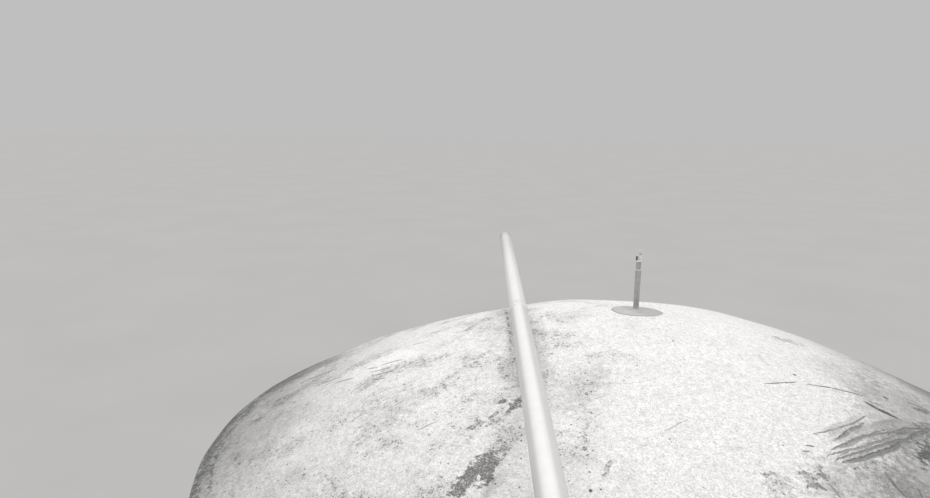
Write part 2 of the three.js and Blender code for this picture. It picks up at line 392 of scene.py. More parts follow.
# The two places in a turned frame: each is the dot product of the way from the start with an axis, which
# is as long as one over the frame's size in that direction.
def framePlaces(given):
    way = given["Vector"] - given["Start"]
    return [way.maths("DOT_PRODUCT", given[axis], result="Value") for axis in ("Along", "Across")]


def frameAt(x, y, angle, length, width):
    along = (math.cos(angle) / length, math.sin(angle) / length, 0.0)
    across = (-math.sin(angle) / width, math.cos(angle) / width, 0.0)
    return {"Start": (x, y, 0.0), "Along": along, "Across": across}


# One stain: distance in a turned ellipse, roughened by a break value, from one inside to none outside.
def stainFields(given):
    along, across = framePlaces(given)
    reach = (along * along + across * across).maths("SQRT")
    broken = (given["Break"] - 0.5) * given["Break Amount"]
    return {"Mask": (reach + broken).ranged(1.0, 0.45) * given["Strength"]}


# Rain streaks: noise drawn out along Z, kept where it is high and where faces are steep.
def rainStreakFields(given):
    stretch = joined(given["Across"], given["Across"], given["Down"])
    broad = (given["Vector"] * stretch).noise(1.0, 5.0, 0.6)
    steep = faceNormal(broad.tree).part(2).size().ranged(0.9, 0.4)
    return {"Mask": broad.ranged(0.48, 0.72) * steep * given["Amount"]}


# Mud splashed up from the ground: full at the foot, gone at the top height, with a ragged edge.
def groundSplashFields(given):
    ragged = (given["Vector"].noise(7.0, 5.0, 0.65) - 0.5) * given["Ragged"] * 3.0
    height = given["Vector"].part(2) + ragged
    return {"Mask": (height / given["Top"]).ranged(1.0, 0.0)}


# Dust that has settled: more on faces that look up, patchy with noise.
def settledDustFields(given):
    patchy = given["Vector"].noise(given["Scale"], 6.0, 0.65)
    up = faceNormal(patchy.tree).part(2)
    return {"Mask": up.ranged(-0.2, 0.9) * patchy.ranged(0.35, 0.7) * given["Amount"]}


# One drawn mark: along the line from its start the place u runs from 0 to 1, and across it the distance
# is v - bow * 4u(1 - u). It is as wide as its half width times the root of 4u(1 - u), and a break value
# roughens its edge. Where an edge strength is given, a darker line runs along its left side.
def drawnMarkFields(given):
    along, across = framePlaces(given)
    arch = along * 4.0 * (1.0 - along)
    wide = given["Half Width"] * arch.maths("MAXIMUM", 0.0).maths("SQRT") * (given["Break"] * 1.3 + 0.35)
    share = (across - arch * given["Bow"]) / wide.maths("MAXIMUM", 0.0002)
    fill = share.size().ranged(1.0, given["Softness"]) - given["Edge"] * 0.22
    line = (share - 0.35).size().ranged(0.46, 0.08)
    drawn = most(fill * given["Strength"], line * given["Edge"])
    return {"Mask": drawn * given["Break"].ranged(0.30, 0.52, 0.35, 1.0)}


# Marks of one sweep of a brush: noise drawn out along the sweep, so that it falls into strands. The place
# along it runs from 0 to 1 and the place across it from -1 to 1. Each strand starts at a place of its own.
def sweptStrandFields(given):
    along, across = framePlaces(given)
    strand = across * given["Strands"]
    start = joined(0.0, strand * 1.6, 0.0).noise(1.0, 2.0, 0.6) * 0.9 - 0.34
    drawn = joined(along * 2.2, strand, 0.0).noise(1.0, 4.0, 0.75, 0.35)
    within = (along - start).ranged(0.0, 0.09) * along.ranged(1.0, 0.62) * across.size().ranged(1.0, 0.7)
    veil = within * given["Strength"]
    return {"Mask": drawn.ranged(0.475, 0.60) * veil, "Veil": veil}


origin = (0.0, 0.0, 0.0)
turnedFrame = {"Vector": origin, "Start": origin, "Along": origin, "Across": origin}
sandGrain = makeGroup("sandGrain", {
    "Vector": origin, "Grain Scale": 90.0, "Pit Scale": 22.0, "Pit Share": 0.25, "Pit Size": 0.16,
}, sandGrainFields)
stainPatch = makeGroup("stainPatch", {
    **turnedFrame, "Break": 0.5, "Break Amount": 1.0, "Strength": 1.0}, stainFields)
rainStreaks = makeGroup("rainStreaks", {
    "Vector": origin, "Across": 9.0, "Down": 0.8, "Amount": 0.5}, rainStreakFields)
groundSplash = makeGroup("groundSplash", {"Vector": origin, "Top": 0.12, "Ragged": 0.08}, groundSplashFields)
settledDust = makeGroup("settledDust", {"Vector": origin, "Scale": 6.0, "Amount": 0.5}, settledDustFields)
drawnMark = makeGroup("drawnMark", {
    **turnedFrame, "Bow": 0.0, "Half Width": 0.01, "Softness": 0.5, "Break": 0.5, "Strength": 1.0,
    "Edge": 0.0}, drawnMarkFields)
sweptStrands = makeGroup("sweptStrands", {**turnedFrame, "Strands": 5.0, "Strength": 1.0}, sweptStrandFields)


# A material with one Principled surface, and the object's own coordinates to draw it in.
def newMaterial(name, metallic=0.0, specular=0.5):
    material = bpy.data.materials.new(name)
    material.use_nodes = True
    tree = material.node_tree
    setInputs(tree.nodes["Principled BSDF"], {"Metallic": metallic, "Specular IOR Level": specular})
    return material, Field(addNode(tree, "ShaderNodeTexCoord").outputs["Object"])


# Gives a material its colour and roughness, and a bump of a height over a distance.
def dressed(material, colour, roughness, height=None, distance=0.0):
    tree = material.node_tree
    surface = tree.nodes["Principled BSDF"]
    setInputs(surface, {"Base Color": colour, "Roughness": roughness})
    if height is not None:
        bump = addNode(tree, "ShaderNodeBump", {"Strength": 1.0, "Distance": distance, "Height": height})
        setInputs(surface, {"Normal": Field(bump.outputs[0])})
    return material


print("node groups built")


dome = {
    "footRadius": 3.867, "rise": 1.181, "flare": 0.164, "thickness": 0.120,
    "around": 440, "down": 200, "inside": 12,
    "swell": 0.0028, "sink": 0.0025, "trowel": 0.0008, "footWobble": 0.005, "seed": 11,
    "swellLength": 0.85, "fineLength": 0.33, "fineShare": 0.3, "trowelAround": 2.2, "trowelDown": 7,
    "pipeRestX": -1.02, "pipeRestY": 0.0, "pipeRestWide": 0.22, "pipeRestLong": 0.55, "pipeRestGap": 0.0002,
}
# Wide humps and hollows of the built face: x, y, reach, height
humps = [
    (-2.7, 1.9, 0.4, 0.022), (-1.25, 1.73, 0.42, -0.018), (0.1, 1.5, 0.26, -0.01),
    (1.05, 1.27, 0.36, 0.011), (2.85, 0.66, 0.5, -0.013),
]
# Tones of the limewash, and what its dirt and painted shadow are made of
plaster = {
    "palestX": -0.45, "palestY": -0.10, "lengthwise": 0.62, "footShare": 0.72, "dirtAndShade": 0.065, "bump": 0.003,
    "mottle": 1.35, "breaks": 0.75, "fine": 1.00,
    "veil": 0.20, "pits": 0.80, "sweptVeil": 0.50,
    "speckEdge": 0.650, "speckGain": 0.215, "speckTone": 0.66,
    "stainSize": 1.15, "stainGain": 1.3, "stainBreak": 2.6, "shadeBreak": 1.2, "lineWidth": 1.3,
    "splashTop": 0.15, "splashRagged": 0.08,
}
# How pale the limewash is at a distance in metres from its palest place. The fall towards the foot is partly
# dirt and partly painted shade, darker where the flanks lean away from the light
limewashAndShadeTones = [
    (0, 0.84), (1.3, 0.84), (1.8, 0.79), (2.3, 0.71), (2.8, 0.53), (3.2, 0.37), (3.6, 0.28), (4.5, 0.25),
]
# Stains in plan from the dome's centre: x, y, turn in degrees, half length, half width, strength, break
stains = [
    (-1.432, -1.892, 54, 0.226, 0.078, 0.86, 0.9), (-1.322, -1.88, 72, 0.168, 0.066, 0.84, 0.9),
    (-1.275, -1.69, 48, 0.086, 0.036, 0.52, 1.2), (-1.515, -2.01, 40, 0.12, 0.066, 0.74, 1),
    (-1.405, -1.45, 24, 0.094, 0.042, 0.6, 1.4), (-1.51, -1.63, 38, 0.11, 0.03, 0.36, 1.4),
    (-1.115, -1.28, 62, 0.11, 0.055, 0.75, 1.1), (-1.222, -1.236, 20, 0.048, 0.03, 0.9, 0.7),
    (-1.177, -1.355, 60, 0.06, 0.03, 0.6, 1.2), (-1.29, -1.383, 30, 0.06, 0.025, 0.55, 1.2),
    (-1.17, -1.08, 5, 0.09, 0.028, 0.45, 1.2), (-1.13, -0.9, 70, 0.11, 0.05, 0.35, 1.6),
    (-2.12, -1.19, 20, 0.24, 0.15, 0.36, 1.6), (-1.65, -0.78, 35, 0.17, 0.11, 0.36, 1.6),
    (-2.24, -0.76, 30, 0.34, 0.2, 0.34, 1.6), (-2.86, 0.12, 10, 0.17, 0.05, 0.4, 1.4),
    (-3.05, 0.53, 12, 0.24, 0.08, 0.38, 1.4), (-3.45, -0.13, 80, 0.17, 0.06, 0.45, 1.4),
    (-3.7, 0.3, 86, 0.3, 0.07, 0.6, 1.4), (-3.74, -0.25, 92, 0.25, 0.06, 0.5, 1.4),
    (-3.7, -0.95, 104, 0.26, 0.06, 0.45, 1.4), (-3.44, 1.05, 60, 0.2, 0.11, 0.42, 1.4),
    (-1.6, 0.1, 30, 0.14, 0.08, 0.3, 1.6), (-1.4, 0.3, 88, 0.52, 0.2, 0.3, 1.8),
    (-1.56, 0.78, 80, 0.2, 0.06, 0.3, 1.6), (-0.56, -1.15, 8, 0.15, 0.05, 0.42, 1.6),
    (-0.72, -1.42, 60, 0.11, 0.07, 0.28, 1.6), (-0.667, -1.72, 84, 0.19, 0.04, 0.45, 1.7),
    (-0.69, -1.83, 70, 0.045, 0.022, 0.55, 0.9), (-0.57, -2, 58, 0.07, 0.024, 0.5, 1.2),
    (-0.83, -0.65, 5, 0.06, 0.022, 0.5, 1), (0.735, -2.02, 40, 0.14, 0.07, 0.5, 1.6),
    (0.465, -2.13, 80, 0.12, 0.11, 0.45, 1.7), (0.87, -2.06, 86, 0.14, 0.05, 0.4, 1.6),
    (1.338, -2.03, 70, 0.08, 0.042, 0.42, 1.2), (0.94, -0.645, 80, 0.12, 0.055, 0.3, 1.6),
    (1.455, 0.1, 12, 0.19, 0.08, 0.5, 1.5), (1.98, -0.29, 60, 0.3, 0.14, 0.34, 1.6),
    (2.215, -0.765, 20, 0.13, 0.06, 0.6, 1.3), (2.01, -1.13, 28, 0.18, 0.08, 0.6, 1.4),
    (1.8, -1.51, 52, 0.22, 0.095, 0.84, 1.2), (1.73, -0.98, -22, 0.2, 0.03, 0.45, 1.2),
    (0.24, -0.39, 10, 0.08, 0.045, 0.22, 1), (1.7, 1.65, 120, 0.3, 0.1, 0.36, 1.5),
    (-0.6, 2.75, 10, 0.34, 0.08, 0.42, 1.5), (2.9, -1.2, 70, 0.3, 0.09, 0.45, 1.5),
    (0.9, 3.15, 165, 0.28, 0.07, 0.45, 1.5), (3.1, 1.15, 100, 0.26, 0.08, 0.45, 1.5),
    (0.5, -3.1, 8, 0.3, 0.08, 0.45, 1.5), (-2.1, -2.5, 135, 0.26, 0.09, 0.42, 1.5),
    (-2.5, 2.25, 45, 0.25, 0.08, 0.42, 1.5),
]
# Broad places that are greyer, or paler where the strength is negative: the same numbers without the break.
# The strips beside both sides of the pipe are its painted shadow; the others are partly dirt and partly
# painted shade and light on the flanks
shades = [
    (-3.4, 1.22, 68, 0.85, 0.48, 0.42), (1.75, -1.95, 30, 0.95, 0.62, 0.42),
    (1.86, -0.98, 58, 0.95, 0.44, 0.25), (-1.25, 0.55, 88, 1.3, 0.16, 0.12),
    (-0.9, -0.35, 90, 1.1, 0.11, 0.16), (-0.62, -1.18, 55, 0.38, 0.2, 0.14),
    (2.75, 0.2, 80, 0.8, 0.35, 0.2), (1.12, -2.1, 15, 0.62, 0.46, 0.27), (1.68, -0.55, 80, 0.5, 0.32, 0.14),
    (-2.3, 0, -20, 0.48, 0.38, -0.16), (-0.92, -1.8, 60, 0.36, 0.2, -0.13),
    (-2.9, -0.98, 100, 0.42, 0.26, -0.15), (-2.08, -1, 30, 0.36, 0.28, 0.12), (0.3, 1.6, 0, 1.1, 0.6, 0.11),
    (-1.3, -2.02, 60, 0.14, 0.08, 0.22),
]
# Places that stay clear of scattered specks
clearPlaces = [
    (-1.13, -1.86, 62, 0.26, 0.12, 1), (0.15, -1.55, 10, 0.95, 0.75, 0.85),
    (-0.85, -2.2, 20, 0.5, 0.24, 0.9), (-2.35, 0.85, 30, 0.6, 0.42, 0.8), (0.9, -0.05, 20, 0.95, 0.6, 0.6),
    (-2.03, 0.12, 0, 0.33, 0.3, 0.9), (-2.78, -0.7, 0, 0.3, 0.26, 0.9), (-2.93, -1.28, 0, 0.22, 0.2, 0.9),
    (-1.78, -1.42, 0, 0.2, 0.18, 0.9),
]
# Soft bands in plan: start x, y, end x, y, bow, half width, strength. The band along the pipe's left side is
# partly dirt and partly the pipe's painted shadow
bands = [
    (-0.84, -1.44, -0.4, -0.76, -0.05, 0.095, 0.42), (-1.135, -1, -1.135, 1.3, 0, 0.06, 0.62),
    (0.62, -2.18, 1.15, -1.95, 0.03, 0.05, 0.22),
]
# Cracks, then scratches and drips, then strands of dirty water swept aside with a brush, in the same way
cracks = [
    (0.778, -1.069, 1.09, -0.935, -0.002, 0.0066, 0.9), (1.159, -0.942, 1.656, -0.884, 0.009, 0.0074, 1),
    (1.589, -0.994, 1.816, -1.128, -0.014, 0.029, 0.9),
]
marks = [
    (0.851, -1.218, 1.026, -1.132, 0, 0.005, 0.25), (1.29, -1.834, 1.334, -2.045, -0.017, 0.013, 0.55),
    (0.828, -2.036, 0.851, -2.15, 0, 0.011, 0.62), (0.476, -2.012, 0.505, -2.099, 0, 0.007, 0.45),
    (1.628, -1.573, 1.701, -1.658, 0, 0.015, 0.62), (0.812, -1.732, 0.87, -1.726, 0, 0.008, 0.9),
    (0.756, -1.792, 0.816, -1.78, 0, 0.008, 0.9), (0.712, -2.05, 0.79, -2.108, 0, 0.017, 0.7),
    (0.91, -1.601, 1.488, -1.218, -0.033, 0.011, 0.72), (1.464, -1.922, 1.449, -2.012, 0, 0.01, 0.55),
    (1.873, -0.357, 1.958, -0.598, 0, 0.007, 0.45), (2.105, -0.692, 2.265, -0.706, 0, 0.015, 0.72),
    (-2.755, -0.03, -2.55, -0.1, 0, 0.017, 0.62), (-2.451, 0.021, -2.334, -0.038, 0, 0.015, 0.6),
    (-2.325, -0.006, -2.109, -0.042, 0, 0.014, 0.66), (-2.076, -0.949, -2.004, -0.899, 0, 0.009, 0.55),
    (-2.46, -1.009, -2.298, -0.897, 0, 0.008, 0.45), (-2.124, -1.46, -2.07, -1.418, 0, 0.008, 0.5),
    (-1.982, -0.753, -1.915, -0.75, 0, 0.008, 0.45), (-1.858, -1.359, -1.717, -1.309, 0, 0.009, 0.5),
    (-2.301, -1.218, -2.195, -1.294, 0, 0.008, 0.35), (-0.565, -1.343, -0.413, -1.283, 0, 0.005, 0.35),
    (-0.435, -1.166, -0.054, -1.105, -0.038, 0.004, 0.3), (-0.377, -1.311, -0.225, -1.367, 0, 0.0045, 0.25),
    (-0.142, -1.703, 0.063, -1.575, 0, 0.008, 0.36), (0.742, -0.589, 0.743, -0.715, 0, 0.006, 0.35),
    (-2.415, -0.105, -2.19, -0.164, 0, 0.016, 0.66), (-2.361, -0.218, -2.154, -0.285, 0, 0.018, 0.62),
    (-2.325, -0.33, -2.226, -0.384, 0, 0.015, 0.55), (-2.919, 0.129, -2.721, 0.093, 0, 0.019, 0.55),
    (-3.54, -0.114, -3.369, -0.164, 0, 0.022, 0.6), (-3.225, 0.525, -2.84, 0.47, 0.02, 0.03, 0.5),
    (-3.5, 1.06, -3.29, 0.93, 0, 0.036, 0.5), (-2.06, 0.33, -1.9, 0.28, 0, 0.014, 0.45),
    (-1.134, 0.88, -1.126, 0.64, 0, 0.014, 0.62), (-1.138, 0.56, -1.128, 0.38, 0, 0.015, 0.66),
    (-1.134, 0.27, -1.126, 0.12, 0, 0.014, 0.66), (-1.136, 0.03, -1.124, -0.12, 0, 0.014, 0.62),
    (-1.136, -0.21, -1.124, -0.33, 0, 0.013, 0.55),
]
brushStrands = [
    (1.05, -1.63, 1.42, -1.337, 0, 0.023, 0.76), (1.06, -1.7, 1.29, -1.545, 0, 0.024, 0.66),
    (0.975, -1.747, 1.61, -1.36, 0.016, 0.016, 0.72), (0.902, -1.813, 1.6, -1.405, -0.021, 0.014, 0.68),
    (0.954, -1.836, 1.99, -1.187, -0.022, 0.017, 0.74), (1.004, -1.844, 1.68, -1.412, -0.036, 0.028, 0.76),
    (1.529, -1.424, 2.03, -1.128, 0.026, 0.017, 0.72), (1.21, -1.56, 1.9, -1.24, 0.01, 0.013, 0.6),
    (1.72, -1.4, 2, -1.16, 0.01, 0.03, 0.7),
]
# Whole sweeps of the brush: start x, y, turn in degrees, length, half width, strands, strength
sweeps = [
    (0.93, -1.79, 32, 1.4, 0.135, 2.8, 0.64), (1.42, -1.52, 28, 0.95, 0.15, 2.6, 0.56),
    (0.98, -1.64, 36, 0.62, 0.08, 2.2, 0.58),
]
# Dark specks: x, y, radius, strength
dots = [
    (-0.7, -2.166, 0.017, 1), (0.234, -0.458, 0.012, 1), (1.123, -0.808, 0.019, 1),
    (0.798, -1.272, 0.006, 0.7), (1.885, -0.776, 0.022, 0.95), (1.424, -1.135, 0.007, 0.7),
    (1.073, -1.876, 0.011, 1), (0.84, -1.729, 0.006, 0.7), (0.795, -1.782, 0.006, 0.7),
    (1.601, -1.225, 0.007, 0.7), (-0.835, -0.684, 0.008, 0.8), (-0.777, -0.555, 0.008, 0.8),
    (-1.737, -1.2, 0.008, 0.85), (-1.717, -1.222, 0.007, 0.75), (-1.575, -1.32, 0.008, 0.8),
    (-1.538, -1.322, 0.007, 0.8), (-1.599, -1.774, 0.008, 0.85), (-1.655, -1.753, 0.007, 0.75),
    (-1.193, -1.886, 0.007, 0.8), (-1.134, -2.086, 0.009, 0.9), (-1.533, -1.859, 0.0065, 0.75),
    (-1.649, -1.425, 0.0065, 0.75), (1.75, -1.525, 0.016, 0.6), (2.196, -0.803, 0.022, 0.8),
]
# Each kind of line: softness of its edge, how far noise bends it, and how much of its strength goes into
# its fill and into the darker line along its side
lineKinds = [(bands, 0.0, 0.10, 1.0, 0.0), (cracks, 0.45, 0.020, 1.0, 0.0), (marks, 0.30, 0.030, 1.0, 0.0),
             (brushStrands, 0.30, 0.055, 1.10, 1.12)]


# Height of the dome's face at a share of the foot radius.
def faceHeight(share):
    return dome["rise"] * (1 - dome["flare"] * share ** 2) * (1 - share ** 2)


# How far the face leans outwards there, as an angle.
def faceLean(share):
    fall = (1 + dome["flare"] - 2 * dome["flare"] * share ** 2) * 2 * share
    return np.arctan(dome["rise"] * fall / dome["footRadius"])


# Height of the dome's face over points in plan, in the part's frame, and none beyond its foot.
def faceOver(x, y):
    share = np.hypot(x - domeCentre[0], y - domeCentre[1]) / dome["footRadius"]
    return np.where(share < 1, faceHeight(np.minimum(share, 1)), 0.0)


# How far the built face stands out from its plain form: slow swells, ridges that the trowel left round
# the dome, and humps of height times exp(-(distance / reach)^2). It dies out where the pipe lies.
def faceMove(x, y):
    reach = np.hypot(x, y)
    place = np.stack([x, y, faceHeight(reach / dome["footRadius"])], -1)
    spread = np.maximum(reach, 0.4)
    around, seed = dome["trowelAround"], dome["seed"]
    swirl = np.stack([x / spread * around, y / spread * around, reach * dome["trowelDown"]], -1)
    swell = (1 - dome["fineShare"]) * ripple(place, dome["swellLength"], seed)
    swell = swell + dome["fineShare"] * ripple(place, dome["fineLength"], seed + 1)
    move = dome["swell"] * swell - dome["sink"] + dome["trowel"] * ripple(swirl, 1.0, seed + 2)
    for humpX, humpY, size, height in humps:
        move = move + height * np.exp(-((x - humpX) ** 2 + (y - humpY) ** 2) / size ** 2)
    sideways = (x - dome["pipeRestX"]) / dome["pipeRestWide"]
    lengthwise = (y - dome["pipeRestY"]) / dome["pipeRestLong"]
    return move * easeBetween(np.hypot(sideways, lengthwise), 0.6, 1.5) - dome["pipeRestGap"]


# Points on the built face, or a lift above it, over points in plan from the dome's centre.
def onFace(x, y, lift=0.0):
    reach = np.hypot(x, y)
    share = reach / dome["footRadius"]
    outward = np.sin(faceLean(share))
    apart = np.maximum(reach, 1e-9)
    out = np.stack([x / apart * outward, y / apart * outward, np.cos(faceLean(share))], -1)
    return np.stack([x, y, faceHeight(share)], -1) + out * (faceMove(x, y) + lift)[..., None]


# Dome shell: one section runs down the face, across the foot and up the inside. The face stands at
# rise (1 - flare s^2)(1 - s^2) for a share s of the foot radius, and the inside lies the thickness under
# it, square to the face and cut off at the ground. The foot wavers in plan.
def domeShell():
    angle = roundAngles(dome["around"])
    share = np.linspace(0, 1, dome["down"] + 1)
    inner = np.linspace(1.0, 0.0, 400)
    innerRadius = inner * dome["footRadius"] - dome["thickness"] * np.sin(faceLean(inner))
    innerHeight = faceHeight(inner) - dome["thickness"] * np.cos(faceLean(inner))
    above = innerHeight > 0
    steps = np.linspace(0, above.sum() - 1, dome["inside"]).round().astype(int)
    innerRadius, innerHeight = innerRadius[above][steps], innerHeight[above][steps]
    innerHeight[0] = 0.0
    innerRadius[-1] = 0.0
    around = unitCircle(angle)
    plan = (share * dome["footRadius"])[:, None, None] * around[None]
    face = onFace(plan[..., 0], plan[..., 1])
    rim = easeBetween(share, 0.955, 1.0)[:, None] * roundRipple(angle, 0.2, dome["seed"] + 3)
    face[..., :2] += (dome["footWobble"] * rim)[..., None] * around[None]
    face[..., 2] = np.maximum(face[..., 2], 0.0)
    face[-1, :, 2] = 0.0
    inside = raised(innerRadius[:, None, None] * around[None], innerHeight)
    return np.concatenate([face, inside]) + domeCentre


# Tones along a field, from pairs of (value, tone).
def toneRamp(field, tones):
    far = tones[-1][0]
    ramp = addNode(field.tree, "ShaderNodeValToRGB", {0: field / far})
    stops = ramp.color_ramp.elements
    for value, tone in tones[1:-1]:
        stops.new(value / far).color = grey(tone)
    stops[0].color, stops[len(stops) - 1].color = grey(tones[0][1]), grey(tones[-1][1])
    return Field(ramp.outputs[0])


# Limewash over sandy cement. Its tone falls off from the palest place and towards the foot, partly as dirt
# and partly as painted shade down the flanks. Dirt lies on it as specks: they stand where a gritty noise
# passes an edge that is lower the more soiled a place is. Beside the pipe, greyer places and a band hold its
# painted shadow.
def makePlaster():
    material, place = newMaterial("limewashedPlaster", specular=0.3)
    centred = place - tuple(domeCentre)
    flat = centred * (1.0, 1.0, 0.0)
    reach = flat.maths("LENGTH", result="Value")
    heading = flat.maths("NORMALIZE")

    # a vector in which equal steps go round the dome and down it
    def roundAbout(around, down):
        return heading.maths("MULTIPLY_ADD", (around, around, 0.0), joined(0.0, 0.0, reach * down))

    def ellipse(x, y, turn, length, width, strength, broken):
        return useGroup(stainPatch, {
            "Vector": flat, **frameAt(x, y, math.radians(turn), length, width), "Break": breaks,
            "Break Amount": broken, "Strength": strength})["Mask"]

    broad = centred.noise(0.8, 3.0, 0.62, 0.4)
    patchy = centred.noise(3.6, 5.0, 0.66, 0.3)
    clusters = (centred + (7.0, 3.0, 1.0)).noise(2.3, 5.0, 0.66, 0.2)
    breaks = centred.noise(20.0, 4.0, 0.72)
    curdled = centred.noise(34.0, 3.0, 0.7, 0.9)
    mottled = centred.noise(66.0, 3.0, 0.75)
    streaky = roundAbout(4.5, 13.0).noise(1.0, 5.0, 0.72, 0.25)
    ringBlotches = roundAbout(24.0, 12.0).noise(1.0, 4.0, 0.7, 0.5)

    # the tone falls off with the distance from the palest place, and then with the distance from the crown:
    # partly dirt, partly painted shade where the flanks lean away from the light
    shortened = flat * (1.0, plaster["lengthwise"], 0.0)
    palest = (plaster["palestX"], plaster["palestY"] * plaster["lengthwise"], 0.0)
    away = most(shortened.maths("DISTANCE", palest, result="Value"), reach - plaster["footShare"])
    tone = toneRamp(away + ((broad - 0.5) * 0.9 + (patchy - 0.5) * 0.8), limewashAndShadeTones)

    # the rougher flank shows more of the wider patterns than the crown
    worn = away.ranged(1.5, 3.3)
    leftward = centred.part(0)
    pitShare = clusters.ranged(0.42, 0.62, 0.12, 0.50) * leftward.ranged(0.6, -1.2, 0.22, 1.0)
    grain = useGroup(sandGrain, {
        "Vector": centred, "Grain Scale": 130.0, "Pit Scale": 17.0, "Pit Size": 0.19, "Pit Share": pitShare})
    shade = (streaky - 0.5) * worn.ranged(0.0, 1.0, 0.10, 0.55) + 1.0
    shade = (patchy - 0.5) * worn.ranged(0.0, 1.0, 0.12, 0.40) + shade
    shade = (breaks - 0.5) * worn.ranged(0.0, 1.0, plaster["breaks"], plaster["breaks"] * 1.3) + shade
    shade = (mottled - 0.5) * plaster["mottle"] + shade
    shade = (grain["Grain"] - 0.5) * plaster["fine"] + shade
    # greyer and paler places: partly dirt, partly painted shade, with the pipe's painted shadow beside it
    for broadPlace in shades:
        shade = shade * (1.0 - ellipse(*broadPlace, plaster["shadeBreak"]))

    # soil and shadow: scattered places, a ring at the foot, streaks on the flank, stains, bands and splashes;
    # the band along the pipe's left side is partly its painted shadow
    soilAndShadow = clusters.ranged(0.42, 0.64, 0.14, 0.66) * leftward.ranged(0.6, -1.2, 0.40, 1.0)
    for clearPlace in clearPlaces:
        soilAndShadow = soilAndShadow * (1.0 - ellipse(*clearPlace, plaster["shadeBreak"]))
    soilAndShadow = most(soilAndShadow, ringBlotches.ranged(0.46, 0.57) * reach.ranged(3.42, 3.84))
    soilAndShadow = most(soilAndShadow, streaky.ranged(0.50, 0.66) * worn.ranged(0.1, 0.8, 0.0, 0.50))
    for x, y, turn, length, width, strength, broken in stains:
        size = plaster["stainSize"]
        stain = ellipse(x, y, turn, length * size, width * size, strength * plaster["stainGain"],
                        broken * plaster["stainBreak"])
        soilAndShadow = most(soilAndShadow, stain)

    # ink: lines, sweeps and specks with an edge of their own
    shift = centred.noise(9.0, 4.0, 0.6, result="Color") - (0.5, 0.5, 0.5)
    inked, lined = 0.0, 0.0
    for lines, softness, wander, fill, side in lineKinds:
        moved = shift.maths("MULTIPLY_ADD", (wander, wander, 0.0), flat)
        for x, y, endX, endY, bow, width, strength in lines:
            length, turn = math.hypot(endX - x, endY - y), math.atan2(endY - y, endX - x)
            line = useGroup(drawnMark, {
                "Vector": moved, **frameAt(x, y, turn, length, 1.0),
                "Bow": bow, "Half Width": width * plaster["lineWidth"], "Softness": softness, "Break": breaks,
                "Strength": strength * fill, "Edge": strength * side})["Mask"]
            # bands join the soil; the one along the pipe's left side is partly painted shadow
            if lines is bands:
                soilAndShadow = most(soilAndShadow, line)
            else:
                inked = most(inked, line)
            if lines is cracks:
                lined = most(lined, line)
    moved = shift.maths("MULTIPLY_ADD", (0.05, 0.05, 0.0), flat)
    for x, y, turn, length, width, strands, strength in sweeps:
        swept = useGroup(sweptStrands, {
            "Vector": moved, **frameAt(x, y, math.radians(turn), length, width),
            "Strands": strands, "Strength": strength})
        inked = most(inked, swept["Mask"], swept["Veil"] * plaster["sweptVeil"])
    grit = (mottled - 0.5) * 0.03
    for x, y, radius, strength in dots:
        off = moved.maths("DISTANCE", (x, y, 0.0), result="Value") - grit
        inked = most(inked, off.ranged(radius * 1.1, radius * 0.35, 0.0, strength))
    splash = useGroup(groundSplash, {
        "Vector": centred, "Top": plaster["splashTop"], "Ragged": plaster["splashRagged"]})["Mask"]
    soilAndShadow = most(soilAndShadow, splash * streaky.ranged(0.40, 0.58, 0.35, 1.0))

    gritty = curdled * 0.55 + mottled * 0.45
    over = gritty - (soilAndShadow * -plaster["speckGain"] + plaster["speckEdge"])
    specks = over.ranged(-0.012, 0.030) * soilAndShadow.ranged(0.2, 1.0, plaster["speckTone"], 0.86)
    specks = specks * mottled.ranged(0.38, 0.58, 0.60, 1.0)
    # dark marks and the pipe's painted shadow all go to one dark tone
    dirtAndShadowMask = most(specks, grain["Pits"] * plaster["pits"], soilAndShadow.ranged(0.1, 1.0) * plaster["veil"], inked)
    height = grain["Height"] * 0.5 + (streaky * 1.2 + patchy) + mottled * 0.9 - lined
    return dressed(material, mixed(dirtAndShadowMask, tone * shade, grey(plaster["dirtAndShade"])), grain["Grain"] * 0.22 + 0.78,
                   height, plaster["bump"])


domeNodes = ["dome_crown"] + [f"dome_segment_{i}" for i in range(1, 17)]
addGrids("dome_shell", [domeShell()], "surface", (makePlaster(), "plaster"), *domeNodes)
print("dome made")


# pipe: film and its tone give the painted shade that greys the pipe's sides and far end
pipe = {
    "x": -1.034257, "height": 1.169538, "radius": 0.08415, "wall": 0.0052, "sides": 72, "cell": 0.10,
    "near": -4.000, "far": 4.350, "socketMouth": 0.250, "socketDepth": 0.120, "socketWall": 0.0060,
    "taper": 0.030, "sealGroove": 0.0022, "colour": 0.93, "dirtAndShade": 0.20, "film": 0.55, "paintedShadeTone": 0.46,
}
pipeCentre = domeCentre + [pipe["x"], 0.0, pipe["height"]]
pipeOuter, pipeBore = pipe["radius"], pipe["radius"] - pipe["wall"]
socketEnd = pipe["socketMouth"] + pipe["socketDepth"]


# Far length: a tube whose end is widened into a socket, with a rounded mouth and a groove for its seal.
def farPipeSection():
    mouth, taperEnd, far = pipe["socketMouth"], socketEnd + pipe["taper"], pipe["far"]
    inner, wide = pipeOuter + 0.0005, pipeOuter + pipe["socketWall"]
    groove = wide + pipe["sealGroove"]
    return [
        (inner + 0.0010, mouth), (wide - 0.0028, mouth + 0.0010), (wide - 0.0010, mouth + 0.0034),
        (wide, mouth + 0.0070), (wide, mouth + 0.016), (groove, mouth + 0.020), (groove, mouth + 0.034),
        (wide, mouth + 0.038), (wide, socketEnd - 0.004), (wide - 0.001, socketEnd),
        (pipeOuter + 0.0008, taperEnd), (pipeOuter, taperEnd + 0.006), (pipeOuter, far - 0.002),
        (pipeOuter - 0.001, far), (pipeBore + 0.0006, far), (pipeBore, far - 0.002), (pipeBore, taperEnd),
        (inner, socketEnd), (inner, mouth + 0.002)]


